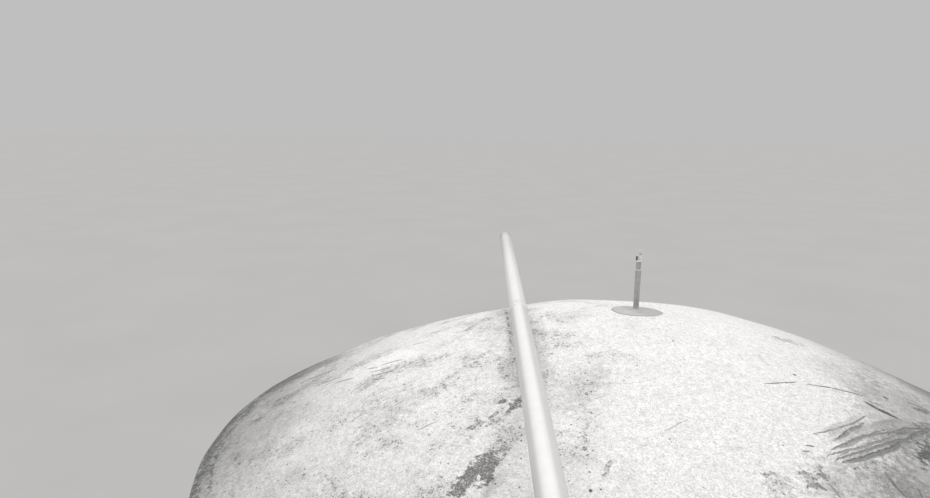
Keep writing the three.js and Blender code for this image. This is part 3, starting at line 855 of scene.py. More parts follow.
# Near length: a plain tube with its near end slightly rounded and its far end in the socket.
def nearPipeSection():
    low, high, soft = pipe["near"], socketEnd - 0.010, 0.001
    return [
        (pipeBore, low + soft), (pipeBore + soft, low), (pipeOuter - soft, low), (pipeOuter, low + soft),
        (pipeOuter, high), (pipeBore, high)]


# Plastic pipe: pale and slightly dull, with scratches along it, dust on top, and grime with painted shade
# under it. A grey film of painted shade lies over it: it is thinnest along a line a little left of the top
# and on the socket's lip, which stay pale as a painted highlight, and thickest at the far end.
def makePalePipe():
    material, place = newMaterial("palePlasticPipe")
    scratches = (place * (70.0, 0.7, 70.0)).noise(1.0, 4.0, 0.7).ranged(0.60, 0.70)
    cloudy = place.noise(2.6, 5.0, 0.6)
    dust = useGroup(settledDust, {"Vector": place, "Scale": 9.0, "Amount": 0.10})["Mask"]
    beside = place - tuple(pipeCentre)
    # grime with painted shade on the pipe's underside
    underGrimeAndShade = beside.part(2).ranged(-0.02, -0.078) * cloudy.ranged(0.35, 0.62)
    along, mouth = beside.part(1), pipe["socketMouth"]
    # painted shade: the film greys the sides and leaves a painted highlight along a line a little left of the
    # top and on the socket's lip; beyond the joint it is half as strong, and it grows towards the far end
    facing = faceNormal(place.tree).maths("DOT_PRODUCT", (-0.24, 0.0, 0.97), result="Value")
    lip = (along - (mouth + 0.006)).size().ranged(0.012, 0.005)
    film = facing.ranged(1.0, 0.77) * along.ranged(mouth - 0.01, mouth + 0.05, 1.0, 0.50) * (1.0 - lip)
    film = film + along.ranged(1.6, 4.0, 0.0, 0.70) + along.ranged(4.0, 4.32, 0.0, 0.65)
    spots = useGroup(sandGrain, {
        "Vector": place, "Grain Scale": 240.0, "Pit Scale": 24.0, "Pit Share": 0.16, "Pit Size": 0.07,
    })["Pits"]
    colour = mixed(cloudy.ranged(0.3, 0.7, 0.0, 0.5), grey(pipe["colour"]), grey(pipe["colour"] * 0.95))
    colour = coated(
        colour, (scratches * 0.16, grey(0.55)), (dust, grey(0.50)), (underGrimeAndShade * 0.55, grey(pipe["dirtAndShade"])),
        (film * pipe["film"], grey(pipe["paintedShadeTone"])), (spots * 0.5, grey(pipe["dirtAndShade"])))
    dull = cloudy.ranged(0.3, 0.7, 0.27, 0.42) + dust * 0.9
    return dressed(material, colour, dull, place.noise(60.0, 4.0, 0.7) * 0.35 - scratches, 0.0004)


palePipe = makePalePipe(), "pale_pipe"
for end, section in [("far", farPipeSection()), ("near", nearPipeSection())]:
    grid = turned(spreadSection(section, pipe["cell"]), pipeCentre, pipe["sides"], "Y")
    addGrids(f"pipe_{end}_length", [grid], "turned", palePipe, f"slurry_pipe_{end}")
print("slurry pipe made")


pad = {"x": 0.120, "y": 0.416, "radius": 0.245, "rise": 0.004, "wobble": 0.003, "rough": 0.0005, "sides": 128}
# Gas outlet: radii, and heights over the dome's face at its axis
gas = {
    "x": 0.133, "y": 0.517, "riser": 0.0275, "wall": 0.0024, "foot": -0.119, "sides": 56,
    "collarLow": 0.347, "collarHigh": 0.388, "collar": 0.030, "overlap": 0.024, "rim": 0.031,
    "rimHigh": 0.3973, "nipple": 0.024, "capLow": 0.475, "capHigh": 0.487, "cap": 0.031,
    "fittingOffset": 0.0125, "fitting": 0.0185, "fittingHigh": 0.5313, "bore": 0.008, "tail": 0.011,
    "tailHigh": 0.5933, "clipLow": 0.5453, "clipHigh": 0.5573, "band": 0.002, "screw": 0.0036,
    "plugOffset": -0.0205, "plug": 0.009, "plugHigh": 0.525, "edge": 0.0006, "rimEdge": 0.0018,
}
gasShare = math.hypot(gas["x"], gas["y"]) / dome["footRadius"]
gasBase = domeCentre + [gas["x"], gas["y"], faceHeight(gasShare)]
tailCentre = gasBase + [gas["fittingOffset"], 0.0, 0.0]
shoulder = gas["collarLow"] + gas["overlap"]


# Mortar pad: a thin round coat that follows the built face. Its height above the face is even, and it
# thins out to nothing at a rim that wavers in plan; its underside lies just inside the dome.
def padGrid():
    angle = roundAngles(pad["sides"])
    radii = np.array([0.0, 0.15, 0.3, 0.45, 0.6, 0.75, 0.88, 0.95, 0.985, 1.0, 0.97, 0.6, 0.0])
    lifts = np.array([1.0, 1.0, 1.02, 1.04, 1.0, 0.98, 0.94, 0.80, 0.50, -0.15, -1.5, -1.5, -1.5])
    spread = radii[:, None] * (pad["radius"] + pad["wobble"] * roundRipple(angle, 0.8, 5))
    x, y = pad["x"] + spread * np.cos(angle), pad["y"] + spread * np.sin(angle)
    grid = onFace(x, y, pad["rise"] * lifts[:, None] + 0 * x)
    grid[:9, :, 2] += pad["rough"] * ripple(grid[:9], 0.09, 8)
    grid[0], grid[-1] = grid[0, 0], grid[-1, 0]
    return grid + domeCentre


# Mortar: trowelled grey cement with a paler half, fine grain, arcs from the trowel and a dark wet edge.
def makePadMortar():
    material, place = newMaterial("padMortar", specular=0.35)
    centred = place - tuple(domeCentre + [pad["x"], pad["y"], 0.0])
    reach = (centred * (1.0, 1.0, 0.0)).maths("LENGTH", result="Value")
    grain = useGroup(sandGrain, {
        "Vector": centred, "Grain Scale": 260.0, "Pit Scale": 60.0, "Pit Share": 0.2, "Pit Size": 0.12})
    clouds = centred.noise(7.0, 5.0, 0.6)
    arcs = joined(reach * 60.0, clouds, 0.0).noise(1.0, 3.0, 0.6)
    paler = (centred.part(0) + centred.part(1) * 0.4).ranged(-0.03, -0.10)
    colour = coated(
        mixed(clouds.ranged(0.3, 0.7), grey(0.43), grey(0.52)), (paler * 0.5, grey(0.64)),
        (arcs.ranged(0.5, 0.75) * 0.25, grey(0.34)),
        (reach.ranged(0.222, 0.236) * (paler * 0.42 + 0.22), grey(0.24)), (grain["Pits"] * 0.6, grey(0.16)))
    dull = clouds.ranged(0.3, 0.7, 0.62, 0.86)
    return dressed(material, colour, dull, grain["Height"] * 0.6 + arcs, 0.0012)


# Grey pipe: dull painted tube with drips, rubbed bands and cement at its foot.
def makeGreyPipe():
    material, place = newMaterial("dullGreyPipe", specular=0.4)
    centred = place - tuple(gasBase)
    fine = centred.noise(130.0, 4.0, 0.7)
    clouds = centred.noise(16.0, 5.0, 0.6)
    rubbed = (centred * (6.0, 6.0, 90.0)).noise(1.0, 3.0, 0.6).ranged(0.58, 0.72)
    drips = useGroup(rainStreaks, {"Vector": centred, "Across": 130.0, "Down": 7.0, "Amount": 0.5})["Mask"]
    splash = (centred.part(2) + fine * 0.03).ranged(0.06, 0.015)
    colour = coated(
        mixed(clouds.ranged(0.3, 0.7), grey(0.39), grey(0.48)), (rubbed * 0.35, grey(0.58)),
        (drips, grey(0.22)), (splash * 0.7, grey(0.55)))
    return dressed(material, colour, clouds.ranged(0.3, 0.7, 0.45, 0.66), fine + splash * 2.0, 0.0004)


# Small moulded fittings: one tone with cloudy wear, a dusty top and a fine grain.
def makeFitting(name, tone, dirtTone, roughness):
    material, place = newMaterial(name, specular=0.45)
    clouds = place.noise(45.0, 5.0, 0.6)
    dust = useGroup(settledDust, {"Vector": place, "Scale": 60.0, "Amount": 0.35})["Mask"]
    colour = coated(mixed(clouds.ranged(0.35, 0.7), grey(tone), grey(tone * 0.82)), (dust, grey(dirtTone)))
    dull = clouds.ranged(0.3, 0.7, roughness - 0.07, roughness + 0.12)
    return dressed(material, colour, dull, place.noise(320.0, 4.0, 0.7), 0.00025)


# Zinc-plated steel: grey metal with dull blotches and fine lines round the band.
def makeClipSteel():
    material, place = newMaterial("zincSteel", metallic=1.0)
    lines = (place * (30.0, 30.0, 1400.0)).noise(1.0, 3.0, 0.6)
    dull = place.noise(110.0, 5.0, 0.6)
    colour = mixed(dull.ranged(0.45, 0.7), grey(0.62), grey(0.40))
    return dressed(material, colour, dull.ranged(0.35, 0.7, 0.28, 0.55), lines, 0.00015)


# Upright turned piece of the gas outlet, set at an offset from the riser's axis.
def gasPiece(name, section, soft, look, node, offset=0.0, closed=True):
    grid = turned(softened(section, soft, closed), gasBase + [offset, 0.0, 0.0], gas["sides"], "Z", closed)
    addGrids(name, [grid], "turned", look, node)


# Coupling: it holds the riser below and the narrower nipple above, with a groove round its outside.
def collarSection():
    low, high, wide, waist = gas["collarLow"], gas["collarHigh"], gas["collar"], gas["collar"] - 0.0012
    below, above = gas["riser"] + fit, gas["nipple"] + fit
    return [
        (below, low), (wide - 0.0008, low), (wide, low + 0.003), (wide, low + 0.0155), (waist, low + 0.0175),
        (waist, low + 0.0205), (wide, low + 0.0225), (wide, high), (above, high), (above, shoulder),
        (below, shoulder)]


dullGrey = makeGreyPipe(), "grey_pipe"
paleFitting = makeFitting("paleFitting", 0.86, 0.6, 0.4), "pale_fitting"
darkFitting = makeFitting("darkFitting", 0.03, 0.16, 0.42), "dark_fitting"
zincSteel = makeClipSteel(), "clip_steel"
addGrids("outlet_pad", [padGrid()], "block", (makePadMortar(), "mortar_pad"), "gas_outlet_pad")
riserSection = tubeSection(gas["riser"], gas["riser"] - gas["wall"], gas["foot"], shoulder - fit)
rimSection = tubeSection(gas["rim"], gas["nipple"] + fit, gas["collarHigh"] + fit, gas["rimHigh"])
nippleSection = tubeSection(gas["nipple"], gas["nipple"] - gas["wall"], shoulder, gas["capLow"] - fit)
gasPiece("riser_tube", spreadSection(riserSection, 0.03), gas["edge"], dullGrey, "gas_riser")
gasPiece("collar_body", collarSection(), gas["edge"], dullGrey, "riser_coupling")
gasPiece("collar_rim", rimSection, gas["rimEdge"], paleFitting, "coupling_rim")
gasPiece("nipple_tube", spreadSection(nippleSection, 0.02), gas["edge"], dullGrey, "gas_nipple")
print("riser made")


# Rings between two loops in plan, each at its own share of the way from the first to the second.
def ringsBetween(first, second, share):
    return first[None] + (second - first)[None] * share[:, None, None]


# Disc cap with the gas port off centre: rings that run from the port's circle out to the rim, over it and
# back. Each point lies on the line between the two circles at the same angle.
def capGrid():
    around = unitCircle(roundAngles(gas["sides"]))
    port = gas["bore"] * around + [gas["fittingOffset"], 0.0]
    share = np.array([0.0, 0.0, 0.3, 0.7, 0.95, 1.0, 1.0, 0.95, 0.5, 0.0, 0.0])
    level = np.array([0.5, 1.0, 1.0, 1.0, 0.97, 0.82, 0.15, 0.0, 0.0, 0.0, 0.5])
    level = level * (gas["capHigh"] - gas["capLow"]) + gas["capLow"]
    return raised(ringsBetween(port, gas["cap"] * around, share), level) + gasBase


# Hose fitting: a hexagon nut under a tail with rings. Its section holds a distance from the axis, a height,
# and 1 where the ring is six-sided. On a flat, the distance is that of the corners times the cosine of 30
# degrees, over the cosine of the angle from the flat's middle.
def fittingGrid():
    bore, wide, tail = gas["bore"], gas["fitting"], gas["tail"]
    low, high, top = gas["capHigh"] + fit, gas["fittingHigh"], gas["tailHigh"]
    section = [
        (bore, low, 0), (wide * 0.93, low, 0), (wide * 0.97, low + 0.002, 1), (wide * 0.97, low + 0.019, 1),
        (wide * 0.92, low + 0.021, 0), (wide, low + 0.0225, 0), (wide, high - 0.0015, 0),
        (wide - 0.0015, high, 0), (tail + 0.001, high, 0), (tail, high + 0.001, 0),
        (tail - 0.0006, high + 0.028, 0)]
    for place in np.linspace(high + 0.030, top - 0.003, 4):
        section += [(tail + 0.0009, place, 0), (tail - 0.0008, place + 0.0035, 0)]
    section += [(tail - 0.0014, top, 0), (bore, top, 0), section[0]]
    radius, level, sixSided = np.array(section).T[:, :, None]
    angle = roundAngles(72)
    flat = math.cos(math.pi / 6) / np.cos((angle + math.pi / 6) % (math.pi / 3) - math.pi / 6)
    spread = radius * (1 + sixSided * (flat - 1))
    return np.stack([spread * np.cos(angle), spread * np.sin(angle), level + 0 * angle], -1) + tailCentre


# Hose clip: a band round the tail, a housing in front of it and a screw that stands out at its side.
def addClip():
    tail, low, high = gas["tail"], gas["clipLow"], gas["clipHigh"]
    band = softened(tubeSection(tail + fit + gas["band"], tail + fit, low, high), 0.0005)
    housingLow = tailCentre + [-0.008, -tail - 0.0093, low + 0.0005]
    housingHigh = tailCentre + [0.006, -tail - 0.0013, high - 0.0005]
    screw = np.array([[x, -tail - 0.0058, (low + high) / 2] for x in (0.006, 0.0085, 0.011)])
    addGrids("clip_band", [turned(band, tailCentre, 48)], "turned", zincSteel, "hose_clip")
    housing = roundedBlock(housingLow, housingHigh, 0.0012, 0.003, 0.0, 0.0, 3)
    addGrids("clip_housing", housing, "block", zincSteel)
    addGrids("clip_screw", [alongPath(tailCentre + screw, gas["screw"], 16)], "turned", zincSteel)


# Plug: a head and a foot of one width, with a waist between them.
def plugSection():
    wide, waist, low, high = gas["plug"], gas["plug"] * 0.8, gas["capHigh"], gas["plugHigh"]
    return [
        (0.0, low + fit), (wide, low + fit), (wide, low + 0.010), (waist, low + 0.012), (waist, high - 0.012),
        (wide, high - 0.010), (wide, high), (0.0, high)]


addGrids("port_disc", [capGrid()], "turned", paleFitting, "outlet_cap")
addGrids("hose_fitting", [fittingGrid()], "nut", paleFitting, "hose_adapter")
addClip()
gasPiece("test_stub", plugSection(), 0.0008, darkFitting, "test_plug", gas["plugOffset"], closed=False)
print("gas outlet made")


outlet = {
    "width": 1.400, "length": 1.400, "domeSide": -3.740, "height": 1.330, "wall": 0.150,
    "cell": 0.06, "edge": 0.010, "rough": 0.0035, "seed": 31,
}
seal = {
    "width": 0.026, "waver": 0.28, "inset": 0.25, "setBack": 0.006, "proud": 0.002, "gap": 0.0004, "seed": 61,
}
wallSides = ("dome_side", "outer", "left", "right")


# Points in plan turned about the dome's centre, anticlockwise seen from above.
def spun(plan, turn):
    return plan @ np.array([[math.cos(turn), math.sin(turn)], [-math.sin(turn), math.cos(turn)]])


# Rectangle with rounded corners in plan: each corner is an arc, and each side after it a run of points.
def roundedLoop(low, high, radius, perSide):
    corners = np.array([[high[0], low[1]], [high[0], high[1]], [low[0], high[1]], [low[0], low[1]]])
    middles = corners + np.array([[-1, 1], [-1, -1], [1, -1], [1, 1]]) * radius
    start = np.radians([-90, 0, 90, 180])[:, None]
    arcs = middles[:, None] + radius * unitCircle(start + np.linspace(0, math.pi / 2, 6))
    loop = []
    for arc, following in zip(arcs, np.roll(arcs, -1, axis=0)):
        loop += [arc, np.linspace(arc[-1], following[0], perSide + 2)[1:-1]]
    return np.concatenate([*loop, arcs[0][:1]])


# Chamber walls: a section of skin, rounded top and skin is carried round the loop between an outer and an
# inner rectangle. Each foot stands on the ground or on the dome's face, and waves move the render.
def chamberGrid(low, high, chamber, turn=0.0):
    wall, height, cell, edge, seed = [chamber[key] for key in ("wall", "height", "cell", "edge", "seed")]
    perSide = int((high - low).max() / cell)
    outer = spun(roundedLoop(low, high, edge * 1.5, perSide), turn) + domeCentre[:2]
    inner = spun(roundedLoop(low + wall, high - wall, edge, perSide), turn) + domeCentre[:2]
    skin = np.linspace(0, 1 - edge / height, int(height / cell) + 1)
    bend = np.linspace(0, math.pi / 2, 4)[1:]
    cornerUp, cornerIn = 1 - edge / height * (1 - np.sin(bend)), edge / wall * (1 - np.cos(bend))
    top = np.linspace(edge / wall, 1 - edge / wall, 4)[1:-1]
    across = np.concatenate([0 * skin, cornerIn, top, 1 - cornerIn[::-1], 0 * skin + 1, [0.0]])
    up = np.concatenate([skin, cornerUp, 0 * top + 1, cornerUp[::-1], skin[::-1], [0.0]])
    plan = ringsBetween(outer, inner, across)
    foot = np.maximum(faceOver(plan[..., 0], plan[..., 1]) - 0.004, 0.0)
    level = foot + up[:, None] * (height - foot)
    points = np.concatenate([plan, level[..., None]], -1)
    move = chamber["rough"] * (0.65 * ripple(points, 0.45, seed) + 0.35 * ripple(points, 0.15, seed + 1))
    out = (outer - inner) / np.linalg.norm(outer - inner, axis=-1, keepdims=True)
    side = np.where(across < 0.5, 1.0, -1.0) * easeBetween(np.abs(across - 0.5), 0.3, 0.5)
    points[..., :2] += out[None] * (move * side[:, None])[..., None]
    points[..., 2] += np.where(up[:, None] > 0.999, move * 0.6, 0.0)
    points[:, -1] = points[:, 0]
    points[-1] = points[0]
    return points


# Rough cement render: cloudy grey, rain streaks from the top edge, a dark damp foot, hairlines and grain.
def makeRender(name, tone, footTop):
    material, place = newMaterial(name, specular=0.3)
    clouds = place.noise(1.9, 6.0, 0.65, 0.3)
    patchy = place.noise(8.0, 5.0, 0.65)
    grain = useGroup(sandGrain, {
        "Vector": place, "Grain Scale": 130.0, "Pit Scale": 26.0, "Pit Share": 0.28, "Pit Size": 0.10})
    swayed = place.noise(2.5, result="Color").maths("MULTIPLY_ADD", (0.22, 0.22, 0.0), place)
    streaks = useGroup(rainStreaks, {"Vector": swayed, "Across": 11.0, "Down": 1.5, "Amount": 0.75})["Mask"]
    streaks = streaks * place.noise(1.3, 3.0, 0.6).ranged(0.42, 0.66)
    splash = useGroup(groundSplash, {"Vector": place, "Top": footTop, "Ragged": 0.07})["Mask"]
    dust = useGroup(settledDust, {"Vector": place, "Scale": 5.0, "Amount": 0.35})["Mask"]
    shifted = place + place.noise(4.0, result="Color")
    cells = addNode(
        place.tree, "ShaderNodeTexVoronoi", {"Vector": shifted, "Scale": 1.6}, feature="DISTANCE_TO_EDGE")
    hairline = Field(cells.outputs["Distance"]).ranged(0.006, 0.002) * clouds.ranged(0.52, 0.62)
    colour = coated(
        mixed(clouds.ranged(0.3, 0.7), grey(tone * 0.82), grey(tone * 1.16)),
        (patchy.ranged(0.5, 0.72) * 0.35, grey(tone * 1.35)))
    colour = coated(
        colour * grain["Grain"].ranged(0.3, 0.65, 0.8, 1.06), (dust, grey(0.46)), (streaks, grey(0.13)),
        (splash * 0.75, grey(0.14)), (most(grain["Pits"], hairline) * 0.7, grey(0.10)))
    height = grain["Height"] + patchy * 1.8 - hairline
    return dressed(material, colour, patchy.ranged(0.3, 0.7, 0.78, 0.95), height, 0.003)


# Cuts one closed mesh out of another and gives the result as a mesh.
def cutOut(mesh, cutterMesh):
    body, cutter = addObject("cutBody", mesh), addObject("cutter", cutterMesh)
    cut = body.modifiers.new("hole", "BOOLEAN")
    cut.operation, cut.object, cut.solver = "DIFFERENCE", cutter, "EXACT"
    bpy.context.view_layer.update()
    result = bpy.data.meshes.new_from_object(body.evaluated_get(bpy.context.evaluated_depsgraph_get()))
    bpy.data.objects.remove(body)
    bpy.data.objects.remove(cutter)
    bpy.data.meshes.remove(cutterMesh)
    return result


# Mortar collar where the pipe enters the wall: a ring whose section is a quarter round, wavering in width.
def sealGrid(place):
    angle = roundAngles(64)
    inside = pipeOuter + seal["gap"]
    width = seal["width"] * (1 + seal["waver"] * roundRipple(angle, 0.9, seal["seed"]))
    bend = np.linspace(0, math.pi / 2, 7)
    spread = inside + np.concatenate([[1.0], np.cos(bend), [0.0, 1.0]])[:, None] * width
    along = np.concatenate([[0.0], np.sin(bend), [-seal["inset"], 0.0]])[:, None] * width
    along[[0, -1]] = -seal["setBack"]
    return np.stack([spread * np.cos(angle), place + along, spread * np.sin(angle)], -1) + pipeCentre


wallRender = makeRender("cementRender", 0.40, 0.20), "concrete"
coverConcrete = makeRender("castConcrete", 0.42, 0.02), "cover_concrete"
outletLow = np.array([pipe["x"] - outlet["width"] / 2, outlet["domeSide"] - outlet["length"]])
outletHigh = np.array([pipe["x"] + outlet["width"] / 2, outlet["domeSide"]])
holeRadius = pipeOuter + 0.001
holeLow, holeHigh = outlet["domeSide"] - outlet["wall"] - 0.05, outlet["domeSide"] + 0.05
holeSection = [(0.0, holeLow), (holeRadius, holeLow), (holeRadius, holeHigh), (0.0, holeHigh)]
hole = meshFromGrids("hole", [turned(holeSection, pipeCentre, pipe["sides"], "Y", closed=False)], "turned")
walls = cutOut(meshFromGrids("outlet_walls", [chamberGrid(outletLow, outletHigh, outlet)], "walls"), hole)
wallNodes = [f"outlet_wall_{side}" for side in wallSides]
addPiece("outlet_walls", finishMesh(walls, "walls"), wallRender, *wallNodes)
addGrids("pipe_wall_seal", [sealGrid(outlet["domeSide"] + seal["proud"])], "block", wallRender)
print("outlet chamber walls made")


covers = {
    "count": 3, "thickness": 0.080, "joint": 0.006, "edge": 0.009, "cell": 0.05, "rough": 0.0012,
    "chip": 0.010, "seed": 70, "loopRadius": 0.006, "loopSpan": 0.11, "loopRise": 0.055, "loopDepth": 0.02,
    "loopShares": (0.22, 0.78),
}


# Lifting loop: a bar rises, bends over and goes down again, with both feet in the slab. Its height over a
# share of the span is that of a half circle to the power 0.7.
def loopPath(x, y, top):
    half, depth, rise, straight = covers["loopSpan"] / 2, covers["loopDepth"], covers["loopRise"], 0.01
    bend = np.linspace(math.pi, 0, 17)
    arch = np.stack([half * np.cos(bend), 0 * bend, (rise - straight) * np.sin(bend) ** 0.7 + straight], -1)
    start, end = [[[at, 0.0, -depth], [at, 0.0, -depth / 4]] for at in (-half, half)]
    return np.concatenate([start, arch, end[::-1]]) + [x, y, top]


# Bar steel: rusty and rough, paler where it is rubbed.
def makeRustyBar():
    material, place = newMaterial("rustyBar", metallic=0.3)
    flakes = place.noise(120.0, 5.0, 0.7)
    rubbed = place.noise(30.0, 4.0, 0.6).ranged(0.58, 0.7) * 0.4
    colour = mixed(flakes.ranged(0.35, 0.65), (0.085, 0.055, 0.042, 1.0), (0.19, 0.125, 0.095, 1.0))
    colour = mixed(rubbed, colour, grey(0.3))
    return dressed(material, colour, flakes.ranged(0.3, 0.7, 0.6, 0.9), flakes, 0.0006)


rustyBar = makeRustyBar(), "cover_concrete"
pitch = (outlet["length"] + covers["joint"]) / covers["count"]
coverLow = outlet["height"] + fit
for i in range(covers["count"]):
    begin = outletLow[1] + i * pitch
    low = domeCentre + [outletLow[0], begin, coverLow]
    high = domeCentre + [outletHigh[0], begin + pitch - covers["joint"], coverLow + covers["thickness"]]
    shape = [covers[key] for key in ("edge", "cell", "rough", "chip")]
    slab = roundedBlock(low, high, *shape, covers["seed"] + i)
    addGrids(f"cover_slab_{i + 1}", slab, "block", coverConcrete, f"outlet_cover_{i + 1}")
    middle = (low[1] + high[1]) / 2
    paths = [loopPath(low[0] + share * outlet["width"], middle, high[2]) for share in covers["loopShares"]]
    loops = [alongPath(path, covers["loopRadius"], 12) for path in paths]
    addGrids(f"cover_loops_{i + 1}", loops, "surface", rustyBar)
print("covers made")


inlet = {
    "turn": -27.0, "domeSide": 3.757, "width": 1.000, "length": 1.100, "height": 0.620, "wall": 0.130,
    "floor": 0.150, "dip": 0.03, "drop": 0.100, "dropWall": 0.0049, "dropRim": 0.012, "dropFromWall": 0.260,
    "cell": 0.05, "edge": 0.010, "rough": 0.003, "seed": 47,
}
film = {"reach": 0.20, "waver": 0.22, "offset": 0.02, "level": 0.978}
turn = math.radians(inlet["turn"])
dropPlace = inlet["domeSide"] + inlet["wall"] + inlet["dropFromWall"]
dropCentre = domeCentre + [dropPlace * math.cos(turn), dropPlace * math.sin(turn), 0.0]


# Floor with a round hole: rings run from the hole's circle out to the walls' rectangle at the same angles,
# over the edge and back underneath. The top dips slightly towards the hole.
def floorGrid():
    halfX, halfY = inlet["length"] / 2 - inlet["wall"] - fit, inlet["width"] / 2 - inlet["wall"] - fit
    middle = inlet["domeSide"] + inlet["length"] / 2
    way = unitCircle(roundAngles(120))
    apart = np.maximum(np.abs(way), 1e-6)
    reachX = np.where(way[:, 0] > 0, middle + halfX - dropPlace, dropPlace - middle + halfX) / apart[:, 0]
    edge = way * np.minimum(reachX, halfY / apart[:, 1])[:, None] + [dropPlace, 0.0]
    hole = way * (inlet["drop"] + 0.0006) + [dropPlace, 0.0]
    top = np.linspace(0, 1, 14)
    share = np.concatenate([[0.0], top, [1.0, 0.0, 0.0]])
    level = np.concatenate([[0.5], 1 - inlet["dip"] + inlet["dip"] * top, [0.0, 0.0, 0.5]]) * inlet["floor"]
    grid = raised(spun(ringsBetween(hole, edge, share), turn), level) + domeCentre
    grid[1:15, :, 2] += 0.0012 * ripple(grid[1:15], 0.2, 91)
    grid[:, -1] = grid[:, 0]
    return grid


# Brown sewer pipe: matt plastic with dried feed on its rim.
def makeDropPipe():
    material, place = newMaterial("brownSewerPipe")
    clouds = place.noise(14.0, 5.0, 0.6)
    dried = useGroup(settledDust, {"Vector": place, "Scale": 40.0, "Amount": 0.8})["Mask"]
    colour = mixed(clouds.ranged(0.3, 0.7), (0.27, 0.125, 0.062, 1.0), (0.35, 0.175, 0.095, 1.0))
    colour = mixed(dried, colour, (0.10, 0.085, 0.058, 1.0))
    dull = clouds.ranged(0.3, 0.7, 0.42, 0.6) + dried * 0.3
    return dressed(material, colour, dull, place.noise(150.0, 4.0, 0.7), 0.0005)


# Feed left on the floor: wet, dark and smooth, with bits of fibre that stand out dull.
def makeWetFeed():
    material, place = newMaterial("wetFeed")
    fibre = (place * (1.0, 3.0, 1.0)).noise(55.0, 5.0, 0.7, 1.2)
    broad = place.noise(6.0, 4.0, 0.6)
    bits = fibre.ranged(0.56, 0.66)
    colour = mixed(broad.ranged(0.35, 0.7), (0.040, 0.036, 0.026, 1.0), (0.075, 0.068, 0.048, 1.0))
    colour = mixed(bits * 0.7, colour, (0.20, 0.175, 0.115, 1.0))
    return dressed(material, colour, bits * 0.5 + 0.14, fibre + broad, 0.0012)


# Feed film: a flat patch round the pipe with a wavering edge that thins out to nothing.
def filmGrid():
    angle = roundAngles(96)
    share = np.array([0.0, 0.35, 0.7, 0.92, 1.0, 0.9, 0.0])[:, None]
    lift = np.array([0.0036, 0.0036, 0.0034, 0.0024, 0.0, -0.004, -0.004])
    inner, outer = inlet["drop"] + 0.0008, film["reach"] * (1 + film["waver"] * roundRipple(angle, 1.1, 77))
    spread = inner + (outer - inner) * share
    plan = np.stack([spread * np.cos(angle) + film["offset"] * share, spread * np.sin(angle)], -1)
    grid = raised(plan, lift + film["level"] * inlet["floor"]) + dropCentre
    grid[:, -1] = grid[:, 0]
    return np.concatenate([grid, grid[:1]])


inletLow = np.array([inlet["domeSide"], -inlet["width"] / 2])
inletHigh = np.array([inlet["domeSide"] + inlet["length"], inlet["width"] / 2])
wallNodes = [f"inlet_wall_{side}" for side in wallSides]
addGrids("inlet_walls", [chamberGrid(inletLow, inletHigh, inlet, turn)], "walls", wallRender, *wallNodes)
addGrids("inlet_floor_slab", [floorGrid()], "walls", wallRender, "inlet_floor")
dropTop = inlet["floor"] + inlet["dropRim"]
dropSection = tubeSection(inlet["drop"], inlet["drop"] - inlet["dropWall"], 0.0, dropTop)
dropGrid = turned(softened(dropSection, 0.0012), dropCentre, 64)
addGrids("inlet_drop_tube", [dropGrid], "turned", (makeDropPipe(), "drop_pipe"), "inlet_drop_pipe")
addGrids("feed_film", [filmGrid()], "surface", (makeWetFeed(), "drop_pipe"))
print("inlet chamber made")


studio = {
    "floorTone": 0.46, "horizonTone": 0.52, "zenithTone": 0.92, "sun": 0.95, "sunSpread": 70.0,
    "sunRight": 4.0, "sunBehind": 0.0, "floorReach": 80.0,
}
camera = {
    "x": -1.40673, "y": -6.14811, "z": 3.03233, "headingLeft": 0.0230607,
    "pitchDown": 11.10934, "roll": -0.0127131, "focalPixels": 695.948, "frameWidth": 930,
}


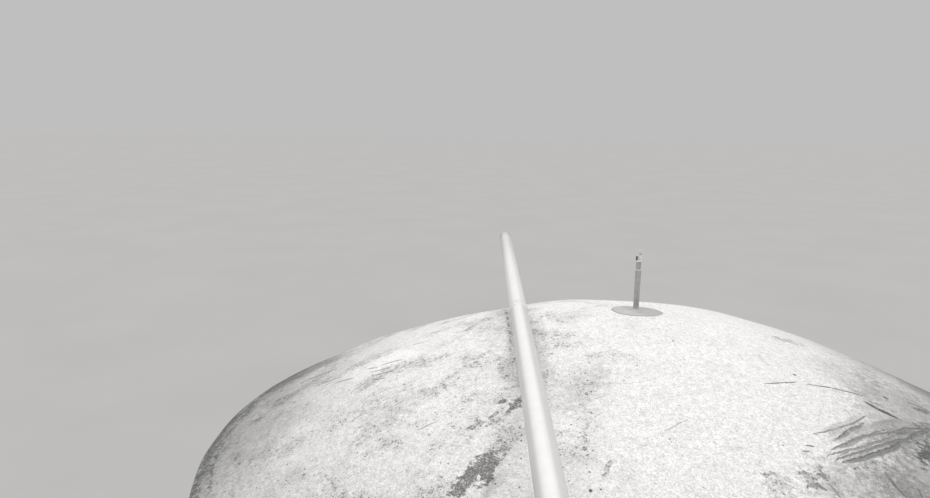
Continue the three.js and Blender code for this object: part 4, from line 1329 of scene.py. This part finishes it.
# Wide plain floor, barely uneven in tone.
def makeFloor():
    material, place = newMaterial("studioFloor", specular=0.2)
    tones = [grey(studio["floorTone"] * share) for share in (0.985, 1.015)]
    dressed(material, mixed(place.noise(0.6, 2.0, 0.55).ranged(0.3, 0.7), *tones), 0.9)
    mesh, reach = bpy.data.meshes.new("studio_floor"), studio["floorReach"]
    corners = [(-reach, -reach, 0.0), (reach, -reach, 0.0), (reach, reach, 0.0), (-reach, reach, 0.0)]
    mesh.from_pydata(corners, [], [(0, 1, 2, 3)])
    mesh.materials.append(material)
    addObject("studio_floor", mesh)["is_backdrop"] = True


# Sky like a large soft ceiling: even and pale up to a low height, and brighter overhead.
def makeLight():
    world = bpy.data.worlds.new("studioSky")
    world.use_nodes = True
    up = Field(addNode(world.node_tree, "ShaderNodeTexCoord").outputs["Generated"]).part(2)
    tone = up.ranged(0.22, 0.85, studio["horizonTone"], studio["zenithTone"])
    setInputs(world.node_tree.nodes["Background"], {"Color": tone})
    bpy.context.scene.world = world
    light = bpy.data.lights.new("softSun", "SUN")
    light.energy, light.angle = studio["sun"], math.radians(studio["sunSpread"])
    lamp = addObject("softSun", light)
    right, behind = [math.tan(math.radians(studio[key])) for key in ("sunRight", "sunBehind")]
    towards = Vector((right, behind, 1.0))
    lamp.location = Vector(domeCentre) + 10 * towards
    lamp.rotation_mode = "QUATERNION"
    lamp.rotation_quaternion = towards.to_track_quat("Z", "Y")


# The camera's axes: heading turned left of +Y, then pitched down, then rolled about its own line of sight.
def makeCamera():
    yaw, pitch, roll = camera["headingLeft"], math.radians(camera["pitchDown"]), camera["roll"]
    ahead = Vector((-math.sin(yaw) * math.cos(pitch), math.cos(yaw) * math.cos(pitch), -math.sin(pitch)))
    right = Vector((math.cos(yaw), math.sin(yaw), 0.0))
    down = ahead.cross(right)
    rolledRight = math.cos(roll) * right + math.sin(roll) * down
    rolledDown = math.cos(roll) * down - math.sin(roll) * right
    data = bpy.data.cameras.new("viewCamera")
    data.sensor_width = 36.0
    data.lens = camera["focalPixels"] * data.sensor_width / camera["frameWidth"]
    data.clip_end = 300.0
    view = addObject("viewCamera", data)
    axes = Matrix((rolledRight, -rolledDown, -ahead)).transposed().to_4x4()
    place = Vector(domeCentre) + Vector((camera["x"], camera["y"], camera["z"]))
    view.matrix_world = Matrix.Translation(place) @ axes
    bpy.context.scene.camera = view


makeFloor()
makeLight()
makeCamera()
bpy.context.scene.view_settings.view_transform = "Standard"
print("studio made")

low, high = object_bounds()
